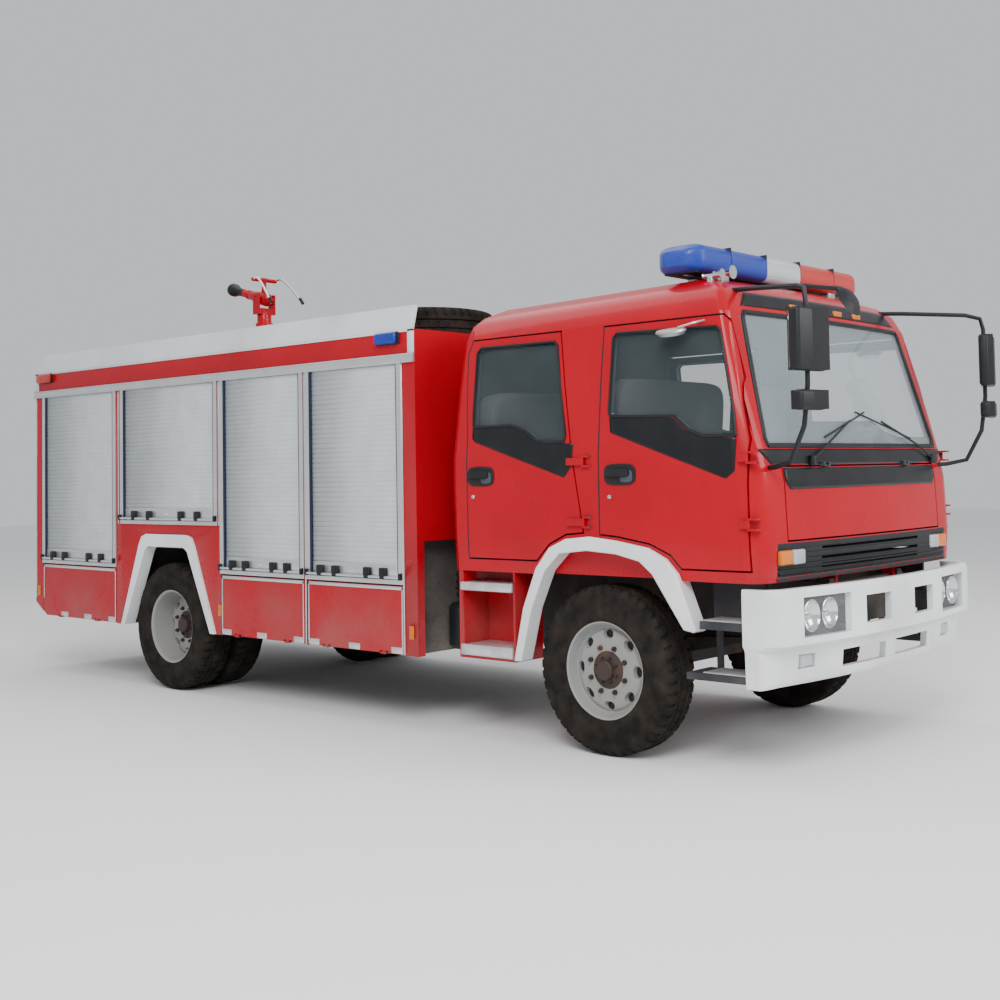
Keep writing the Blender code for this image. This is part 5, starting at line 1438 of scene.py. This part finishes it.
        loop = [on_glass(x, bottom, 0.001) for x in np.linspace(-wide + 0.02, wide - 0.02, 40)]
        loop += [on_glass(across(z) - 0.004, z, 0.001) for z in np.linspace(bottom, top, 20)[1:-1]]
        loop += [on_glass(x, top, 0.001) for x in np.linspace(narrow - 0.02, -narrow + 0.02, 40)]
        loop += [on_glass(-across(z) + 0.004, z, 0.001) for z in np.linspace(top, bottom, 20)[1:-1]]
        fitting("windscreen_seal", pipe(loop + loop[:1], 0.015, 12), Finish.BLACK, "cab")
        for name, pivot_x, reach, rise in (("near", -0.640, 0.520, 0.150), ("far", 0.930, -0.640, 0.150)):
            root = Vector(on_glass(pivot_x, bottom + 0.004, 0.030))
            root.z = 1.722
            root.y -= 0.010
            tip = Vector(on_glass(pivot_x + reach, bottom + rise, 0.022))
            arm = [root, root.lerp(tip, 0.35) + Vector((0, -0.012, 0.010)), tip]
            start, end = on_glass(pivot_x + reach * 0.40, bottom + 0.050, 0.010), on_glass(
                pivot_x + reach * 1.45, bottom + rise + 0.055, 0.010)
            blade = [on_glass(x, z, 0.008) for x, z in zip(np.linspace(start[0], end[0], 14),
                                                         np.linspace(start[2], end[2], 14))]
            post = lathe([(0.0, 0.030), (0.016, 0.026), (0.020, 0.0), (0.024, -0.030), (0.0, -0.030)], root, 2, 20)
            skin = pipe([tuple(p) for p in arm], 0.0065, 10, 16) + pipe(blade, 0.0055, 8) + post
            fitting("wiper_" + name, skin, Finish.BLACK, "cab")

    def build_inside(self) -> None:
        """Make the dashboard, the seats' bases and pads, and the steering wheel."""
        refined("dashboard", Finish.DASH, 0.012)
        floor, seat = self.seat_base
        bases = {"front_seats": [slab((left, back(-0.500), floor), (right, back(-0.060), seat), 0.02)
                                 for left, right in ((0.360, 0.880), (-0.980, 0.080))],
                 "crew_bench": [slab((-1.040, back(0.520), floor), (1.040, back(1.060), seat), 0.02)]}
        for node, skins in bases.items():
            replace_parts(fitting(node + "_base", gathered(skins), Finish.BLACK, "cab"), node)
        cushions = (("driver_cushion", (0.620, back(-0.280), 1.480), (0.295, 0.258, 0.082), 3, 0.0, 0.8),
                    ("driver_back", (0.620, back(-0.012), 1.860), (0.290, 0.385, 0.072), 3, 1.655, 0.8),
                    ("bench_cushion", (-0.450, back(-0.280), 1.480), (0.565, 0.258, 0.082), 5, 0.0, 0.8),
                    ("bench_back", (-0.450, back(-0.012), 1.860), (0.560, 0.385, 0.072), 5, 1.655, 0.8),
                    ("crew_cushion", (0.0, back(0.740), 1.482), (1.058, 0.258, 0.082), 8, 0.0, 0.8),
                    ("crew_back", (0.0, back(1.010), 1.845), (1.058, 0.370, 0.110), 8, 1.62, 0.8))
        for name, centre, half, channels, lean, fill in cushions:
            item = fitting(name, pad(centre, half, 0.26, channels, 0.012, lean), Finish.CLOTH, "cab", 60.0)
        refined("steering_wheel", Finish.BLACK, 0.0, 60.0)

    def build_steps(self) -> None:
        """Make the tread plates of the crew and front steps, and show the front steps and the cab's flares."""
        for suffix, side in SIDES:
            plates = []
            for top, drop in ((0.5855, 0.060), (0.9805, 0.045)):
                plates.append(slab((side * 0.950, back(0.668), top), (side * 1.190, back(1.082), top + 0.008), 0.003))
                plates.append(slab((side * 1.179, back(0.652), top - drop), (side * 1.204, back(1.100), top + 0.010),
                                   0.008))
            step = Caster("front_step_" + suffix)
            for start in (0.98, 0.76):
                top = step.first((side * 1.100, back(-0.880), start), (0, 0, -1), 0.2).z
                plates.append(slab((side * 0.985, back(-1.036), top + 0.0005),
                                   (side * 1.180, back(-0.752), top + 0.008), 0.003))
            fitting("crew_step_plates_" + suffix, gathered(plates), Finish.STEP, "cab")
            refined("front_step_" + suffix, Finish.PANEL, 0.003)
            refined("cab_flare_" + suffix, Finish.WHITE, 0.008)

    def build(self) -> None:
        """Make the whole cab."""
        centre = np.array([0.0, back(-0.10), 1.95])

        def knuckles(middles: np.ndarray, normals: np.ndarray) -> np.ndarray:
            """Say which faces belong to the lid's hinge knuckles.

            Args:
                middles: The faces' middles.
                normals: Their normals.

            Returns:
                One truth value for each face.
            """
            across = np.abs(middles[:, 0])
            return (np.abs(middles[:, 2] - 1.690) < 0.026) & (across > 0.43) & (across < 0.57)

        def inner(middles: np.ndarray, normals: np.ndarray) -> np.ndarray:
            """Say which faces look towards the cabin's middle or lie under the nose panel.

            Args:
                middles: The faces' middles.
                normals: Their normals.

            Returns:
                One truth value for each face.
            """
            facing = ((centre - middles) * normals).sum(axis=1) > 0.0
            pillar = (np.abs(middles[:, 0]) > 0.90) & (middles[:, 1] < back(-0.80))
            under_panel = knuckles(middles, normals) & (middles[:, 1] < back(-1.14))
            return (facing & ~pillar & (middles[:, 2] > 1.09)) | under_panel

        refined("cab_shell", Finish.RED, 0.0, 32.0, Finish.DASH, inner)
        refined("front_lid", Finish.RED, 0.0, 32.0, Finish.BLACK, knuckles)
        for suffix, side in SIDES:
            self.build_doors(suffix, side)
        self.build_nose()
        self.build_screen()
        self.build_inside()
        self.build_steps()


@dataclass
class Bumper:
    """The white bumper with its headlamps and fog lamps."""

    near: float = 0.575
    far: float = 1.005
    low: float = 0.770
    high: float = 0.985
    bowl: float = 0.084
    bowl_places: tuple[float, float] = (0.690, 0.885)

    def build(self) -> None:
        """Make the bumper's skin and lamps."""
        refined("front_bumper", Finish.WHITE, 0.007)
        caster = Caster("front_bumper")
        for suffix, side in SIDES:
            node = "headlamp_" + suffix
            edge = max(caster.ahead(side * x, 0.740) for x in (self.near, self.far))
            housing = slab((side * (self.near - 0.008), edge + 0.060, self.low - 0.008),
                           (side * (self.far + 0.010), edge + 0.085, 0.968), 0.008)
            item = fitting(node + "_housing", housing, Finish.BLACK, "chassis")
            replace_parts(item, node)
            bowls = []
            radius = self.bowl
            for x in self.bowl_places:
                profile = [(0.0, edge + 0.066), (radius * 0.66, edge + 0.058), (radius + 0.004, edge + 0.018),
                           (radius, edge + 0.016), (radius * 0.88, edge + 0.034), (radius * 0.6, edge + 0.052),
                           (0.018, edge + 0.060), (0.014, edge + 0.036), (0.0, edge + 0.032)]
                bowls.append(lathe(profile, (side * x, 0.0, (self.low + self.high) / 2), 1, 40))
            fitting(node + "_bowls", gathered(bowls), Finish.CHROME, "chassis", 50.0)
            x = np.linspace(self.near, self.far, 24)
            z = np.linspace(self.low, self.high, 10)
            y = np.array([caster.ahead(side * v, 0.745) for v in x])
            points = np.stack(np.broadcast_arrays(side * x[:, None], y[:, None] + 0.012, z[None, :]), -1)
            cover = Skin(points.reshape(-1, 3), grid_faces(24, 10).tolist())
            fitting(node + "_cover", cover, Finish.CLEAR, "chassis", 40.0, 0.0, 0.004)
            fog_y = caster.ahead(side * 0.86, 0.690)
            fog = slab((side * 0.795, fog_y + 0.004, 0.594), (side * 0.925, fog_y + 0.050, 0.662), 0.010, 20, 10)
            fitting("fog_lamp_" + suffix, fog, Finish.BEACON_CLEAR, "chassis")


@dataclass
class LightBar:
    """Roof bar with a tray on four feet, five lens sections and their dividers, and the horns beside it."""

    half: float = 0.985
    front: float = -0.640
    rear: float = -0.320
    base: float = 2.885
    top: float = 3.000
    steps: int = 36

    def lens(self, left: float, right: float) -> Skin:
        """One lens section: a rounded cross-section that shrinks towards the bar's ends.

        The section is a superellipse in (y, z), and its size falls off over the last 110 mm of the bar.

        Args:
            left: Its lesser x.
            right: Its greater x.

        Returns:
            The skin.
        """
        x = np.linspace(left, right, max(4, int((right - left) / 0.012)))
        reach = np.clip((self.half - np.abs(x)) / 0.110, 0.0, 1.0)
        size = (1.0 - (1.0 - reach) ** 2.2) * 0.5 + 0.5
        angle = np.arange(self.steps) * tau / self.steps
        cross = np.stack([np.cos(angle), np.sin(angle)], -1)
        cross = np.sign(cross) * np.abs(cross) ** 0.5
        y0, z0 = back((self.front + self.rear) / 2), self.base + 0.022
        half_y, half_z = (self.rear - self.front) / 2, self.top - z0
        y = y0 + cross[None, :, 0] * half_y * size[:, None]
        z = z0 + np.where(cross[None, :, 1] > 0, cross[None, :, 1] * half_z, cross[None, :, 1] * 0.082) * size[:, None]
        points = np.stack(np.broadcast_arrays(x[:, None], y, z), -1)
        return Skin(points.reshape(-1, 3), tube_faces(len(x), self.steps))

    def build(self) -> None:
        """Make the bar and the horns beside it."""
        sections = (("near_end", -self.half, -0.620, Finish.BLUE), ("near", -0.612, -0.222, Finish.BLUE),
                    ("middle", -0.214, 0.178, Finish.BEACON_CLEAR), ("far", 0.186, 0.612, Finish.BEACON_RED),
                    ("far_end", 0.620, self.half, Finish.BEACON_RED))
        for name, left, right, finish in sections:
            fitting("beacon_%s" % name, self.lens(left, right), finish, "cab", 50.0)
        y0, y1 = back(self.front), back(self.rear)
        tray = slab((-self.half + 0.060, y0 + 0.045, self.base - 0.060),
                    (self.half - 0.060, y1 - 0.045, self.base - 0.045), 0.006)
        item = fitting("beacon_tray", tray, Finish.BLACK, "cab")
        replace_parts(item, "light_bar")
        dividers = [slab((x - 0.0035, y0 + 0.002, self.base), (x + 0.0035, y1 - 0.002, self.top - 0.002), 0.003)
                    for x in (-0.616, -0.218, 0.182, 0.616)]
        fitting("beacon_dividers", gathered(dividers), Finish.BLACK, "cab")
        feet = []
        roof = Caster("cab_shell")
        for x in (-0.640, 0.640):
            for u in (-0.580, -0.390):
                ground = roof.above(x, back(u))
                feet.append(slab((x - 0.045, back(u) - 0.028, ground - 0.002),
                                 (x + 0.045, back(u) + 0.028, self.base - 0.008), 0.008))
        fitting("beacon_feet", gathered(feet), Finish.ALLOY, "cab")
        horns = []
        for x, size in ((-0.820, 0.040), (-0.930, 0.030)):
            ground = roof.above(x, back(-0.700))
            profile = [(size, back(-0.780)), (size * 0.82, back(-0.765)), (size * 0.35, back(-0.720)),
                       (size * 0.25, back(-0.660)), (size * 0.5, back(-0.650)), (0.0, back(-0.646))]
            horns.append(lathe(profile, (x, 0.0, ground + size + 0.006), 1, 32))
            horns.append(slab((x - 0.012, back(-0.710), ground - 0.004), (x + 0.012, back(-0.680), ground + size),
                              0.003))
        fitting("roof_horns", gathered(horns), Finish.CHROME, "cab", 40.0)


@dataclass
class Mirrors:
    """The mirrors' arms and backs with their reflecting faces, and the look-down mirror on its arm."""

    shells: tuple = (("main", 2.190, 2.520), ("wide", 1.985, 2.085))
    glasses: tuple = (("main", 2.205, 2.505), ("wide", 1.995, 2.075))
    thickness: float = 0.060
    head_x: float = 1.145
    glass_half: float = 0.085

    def heads(self, node: str) -> None:
        """Cover the two flat heads of a mirror with rounded shells, turned as the heads are.

        Args:
            node: The mirror's CAD node.
        """
        points = np.array([v.co for v in frame["nodes"][node].data.vertices])
        for name, low, high in self.shells:
            ends = points[np.abs(points[:, 2] - low) < 0.004][:, :2]
            if len(ends) < 4:
                LOG.info("%s: no flat end at %.3f", node, low)
                continue
            centre = (ends.max(axis=0) + ends.min(axis=0)) / 2
            far = ends[np.argmax(ends[:, 0])] - ends[np.argmin(ends[:, 0])]
            width = float(np.hypot(*far))
            turn = atan2(far[1], far[0])
            reach, thick = width / 2 + 0.004, self.thickness / 2 + 0.003
            shell = slab((-reach, -thick, low - 0.004), (reach, thick, high + 0.004), 0.024, 28, 14)
            place = Matrix.Translation((centre[0], centre[1], 0.0)) @ Matrix.Rotation(turn, 4, "Z")
            fitting("%s_%s_shell" % (node, name), shell.turned(place), Finish.BLACK, "cab", 50.0)

    def build(self) -> None:
        """Make both sides' mirrors."""
        for suffix, side in SIDES:
            node = "mirror_" + suffix
            refined(node, Finish.BLACK, 0.004, 40.0)
            self.heads(node)
            caster = Caster(node)
            for name, low, high in self.glasses:
                faces = []
                centre_x, width = side * self.head_x, self.glass_half
                for z in np.linspace(low, high, 6):
                    for x in np.linspace(centre_x - width, centre_x + width, 6):
                        hit = caster.first((x, back(-0.95), z), (0, -1, 0), 0.44)
                        faces.append((x, hit.y + 0.0012, z))
                fitting("%s_%s_face" % (node, name), Skin(np.array(faces), grid_faces(6, 6).tolist()), Finish.MIRROR,
                        "cab", 35.0, 0.0, 0.0012)
            door = "front_door_" + suffix
            x = float(cab_half(2.50))
            arm = [(side * (x - 0.002), back(-0.770), 2.515), (side * (x + 0.050), back(-0.730), 2.500),
                   (side * (x + 0.070), back(-0.640), 2.480)]
            dish = lathe([(0.0, 0.014), (0.070, 0.010), (0.078, 0.0), (0.060, -0.022), (0.0, -0.030)],
                         (0.0, 0.0, 0.0), 2, 36)
            place = Matrix.Translation((side * (x + 0.070), back(-0.590), 2.462)) @ Matrix.Rotation(
                side * radians(20), 4, "Y") @ Matrix.Diagonal((0.62, 1.35, 1.0, 1.0))
            fitting("look_down_mirror_" + suffix, pipe(arm, 0.006, 10, 14) + dish.turned(place), Finish.ALLOY, door)


@dataclass
class Monitor:
    """The roof monitor: ringed riser, yoke, curved barrel with its nozzle, cross bar and tillers."""

    pivot_z: float = 3.270
    droop: float = radians(16)
    behind: float = 4.720
    tiller: float = 0.118

    def build(self) -> None:
        """Make the monitor's fixed, swivelling and tipping pieces."""
        y = back(self.behind)
        refined("monitor_riser", Finish.RED, 0.002, 40.0)
        refined("monitor_head", Finish.RED, 0.002, 40.0)
        turn = Matrix.Translation((0.0, y, self.pivot_z)) @ Matrix.Rotation(self.droop - pi / 2, 4, "X")
        red = lathe([(0.0, -0.066), (0.036, -0.064), (0.058, -0.048), (0.060, 0.055), (0.050, 0.110), (0.038, 0.210),
                     (0.043, 0.214), (0.043, 0.232), (0.036, 0.236), (0.036, 0.300), (0.0, 0.300)],
                    (0.0, 0.0, 0.0), 2, 40).turned(turn)
        bar_z = self.pivot_z + 0.170
        red = red + lathe([(0.0, self.pivot_z + 0.02), (0.026, self.pivot_z + 0.02), (0.020, bar_z - 0.03),
                           (0.026, bar_z - 0.010), (0.026, bar_z + 0.018), (0.0, bar_z + 0.019)], (0.0, y, 0.0), 2, 24)
        red = red + lathe([(0.0, -0.130), (0.017, -0.128), (0.018, 0.128), (0.0, 0.130)], (0.0, y, bar_z), 0, 20)
        red = red + lathe([(0.0, -0.092), (0.020, -0.092), (0.020, 0.092), (0.0, 0.092)], (0.0, y, self.pivot_z), 0, 20)
        item = fitting("monitor_barrel_body", red, Finish.RED, "monitor_barrel")
        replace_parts(item, "monitor_barrel")
        nozzle = lathe([(0.0, 0.298), (0.037, 0.300), (0.034, 0.345), (0.040, 0.390), (0.058, 0.440), (0.060, 0.478),
                        (0.055, 0.496), (0.042, 0.492), (0.038, 0.440), (0.0, 0.430)],
                       (0.0, 0.0, 0.0), 2, 40).turned(turn)
        fitting("monitor_nozzle", nozzle, Finish.BLACK, "monitor_barrel")
        for name, side, reach, finish in (("near", -1.0, 0.260, Finish.WHITE), ("far", 1.0, 0.400, Finish.ALLOY)):
            route = [(side * self.tiller, y - share * reach, bar_z + rise)
                     for share, rise in ((0.0, 0.0), (0.25, 0.005), (0.60, -0.090), (1.0, -0.240))]
            fitting("tiller_" + name, pipe(route, 0.009, 12, 28), finish, "monitor_barrel")
            grip = pipe([route[-1], (route[-1][0], route[-1][1] + 0.10 * reach, route[-1][2] + 0.050)], 0.014, 14)
            fitting("tiller_grip_" + name, grip, Finish.BLACK, "monitor_barrel")


@dataclass
class Running:
    """What carries the truck, its frame, axles and engine, and the ladder at its rear."""

    pipe_x: float = 0.300
    pipe_route: tuple = ((1.0, -0.30, 0.780), (1.0, 0.60, 0.770), (0.8, 1.90, 0.800), (0.9, 3.60, 0.760))

    def build(self) -> None:
        """Dress the running gear and make its brake pipes."""
        for node in ("chassis_frame", "engine_block", "battery_box"):
            refined(node, Finish.CHASSIS, 0.002)
        for node in ("front_axle", "rear_axle", "knuckle_r", "knuckle_l"):
            refined(node, Finish.IRON, 0.002, 40.0)
        refined("air_cleaner", Finish.BLACK, 0.002, 40.0)
        refined("rear_ladder", Finish.ALLOY, 0.0, 50.0)
        lines = [pipe([(x * share, back(behind), z) for share, behind, z in self.pipe_route], 0.010, 8, 30)
                 for x in (-self.pipe_x, self.pipe_x)]
        fitting("brake_pipes", gathered(lines), Finish.IRON, "chassis")


# ---------------------------------------------------------------- studio
@dataclass
class Studio:
    """Pale floor, soft lights and the camera."""

    place: Point = (-7.2903, -7.4758, 1.6899)
    yaw: float = 41.0921
    pitch: float = 2.5821
    roll: float = -1.0651
    lens: float = 47.946
    shift: tuple[float, float] = (-0.0479, -0.0895)
    lights: tuple = (("key", (-9.0, -8.0, 9.0), 6.0, 1500.0), ("front", (3.0, -12.0, 6.0), 5.0, 700.0),
                     ("top", (0.0, 2.0, 10.0), 8.0, 450.0))
    aim: Point = (0.0, -0.5, 1.2)
    floor_half: float = 40.0

    def build(self) -> None:
        """Make the floor, the lights and the camera."""
        mesh = bpy.data.meshes.new("floor")
        half = self.floor_half
        mesh.from_pydata([(-half, -half, 0), (half, -half, 0), (half, half, 0), (-half, half, 0)], [], [(0, 1, 2, 3)])
        floor = bpy.data.objects.new("floor", mesh)
        graph = Graph("floor_pale", (0.86, 0.86, 0.86), 0.85)
        graph.bump(graph.noise(20.0), 0.02, 0.002)
        mesh.materials.append(graph.material)
        bpy.context.scene.collection.objects.link(floor)
        world = bpy.data.worlds.new("studio")
        world.use_nodes = True
        sky = world.node_tree.nodes["Background"]
        sky.inputs["Color"].default_value = (0.95, 0.97, 1.0, 1.0)
        sky.inputs["Strength"].default_value = 0.72
        bpy.context.scene.world = world
        for name, place, size, power in self.lights:
            light = bpy.data.lights.new(name, "AREA")
            light.size = size
            light.energy = power
            lamp = bpy.data.objects.new(name, light)
            lamp.location = place
            lamp.rotation_euler = (Vector(self.aim) - Vector(place)).to_track_quat("-Z", "Y").to_euler()
            bpy.context.scene.collection.objects.link(lamp)
        camera_data = bpy.data.cameras.new("camera")
        camera_data.lens = self.lens
        camera_data.shift_x, camera_data.shift_y = self.shift
        camera = bpy.data.objects.new("camera", camera_data)
        yaw, pitch, roll = (radians(v) for v in (self.yaw, self.pitch, self.roll))
        ahead = Vector((cos(yaw) * cos(pitch), sin(yaw) * cos(pitch), sin(pitch)))
        right = ahead.cross(Vector((0, 0, 1))).normalized()
        up = right.cross(ahead)
        right, up = right * cos(roll) + up * sin(roll), up * cos(roll) - right * sin(roll)
        turn = Matrix((right, up, -ahead)).transposed()
        camera.matrix_world = Matrix.Translation(self.place) @ turn.to_4x4()
        bpy.context.scene.collection.objects.link(camera)
        bpy.context.scene.camera = camera


def main() -> None:
    """Build every sub-assembly in order."""
    logging.basicConfig(level=logging.INFO, format="%(name)s %(message)s")
    for suffix, side in SIDES:
        Tyre("front_tyre_" + suffix).build()
        Tyre("rear_tyre_outer_" + suffix).build()
        Tyre("rear_tyre_inner_" + suffix).build()
        Wheel(suffix, side, True).build()
        Wheel(suffix, side, False).build()
    Tyre("spare_wheel", 2).build()
    for assembly in (LockerBody(), Cab(), Bumper(), LightBar(), Mirrors(), Monitor(), Running(), Studio()):
        LOG.info("building %s", type(assembly).__name__)
        assembly.build()


if __name__ == "__main__":
    main()
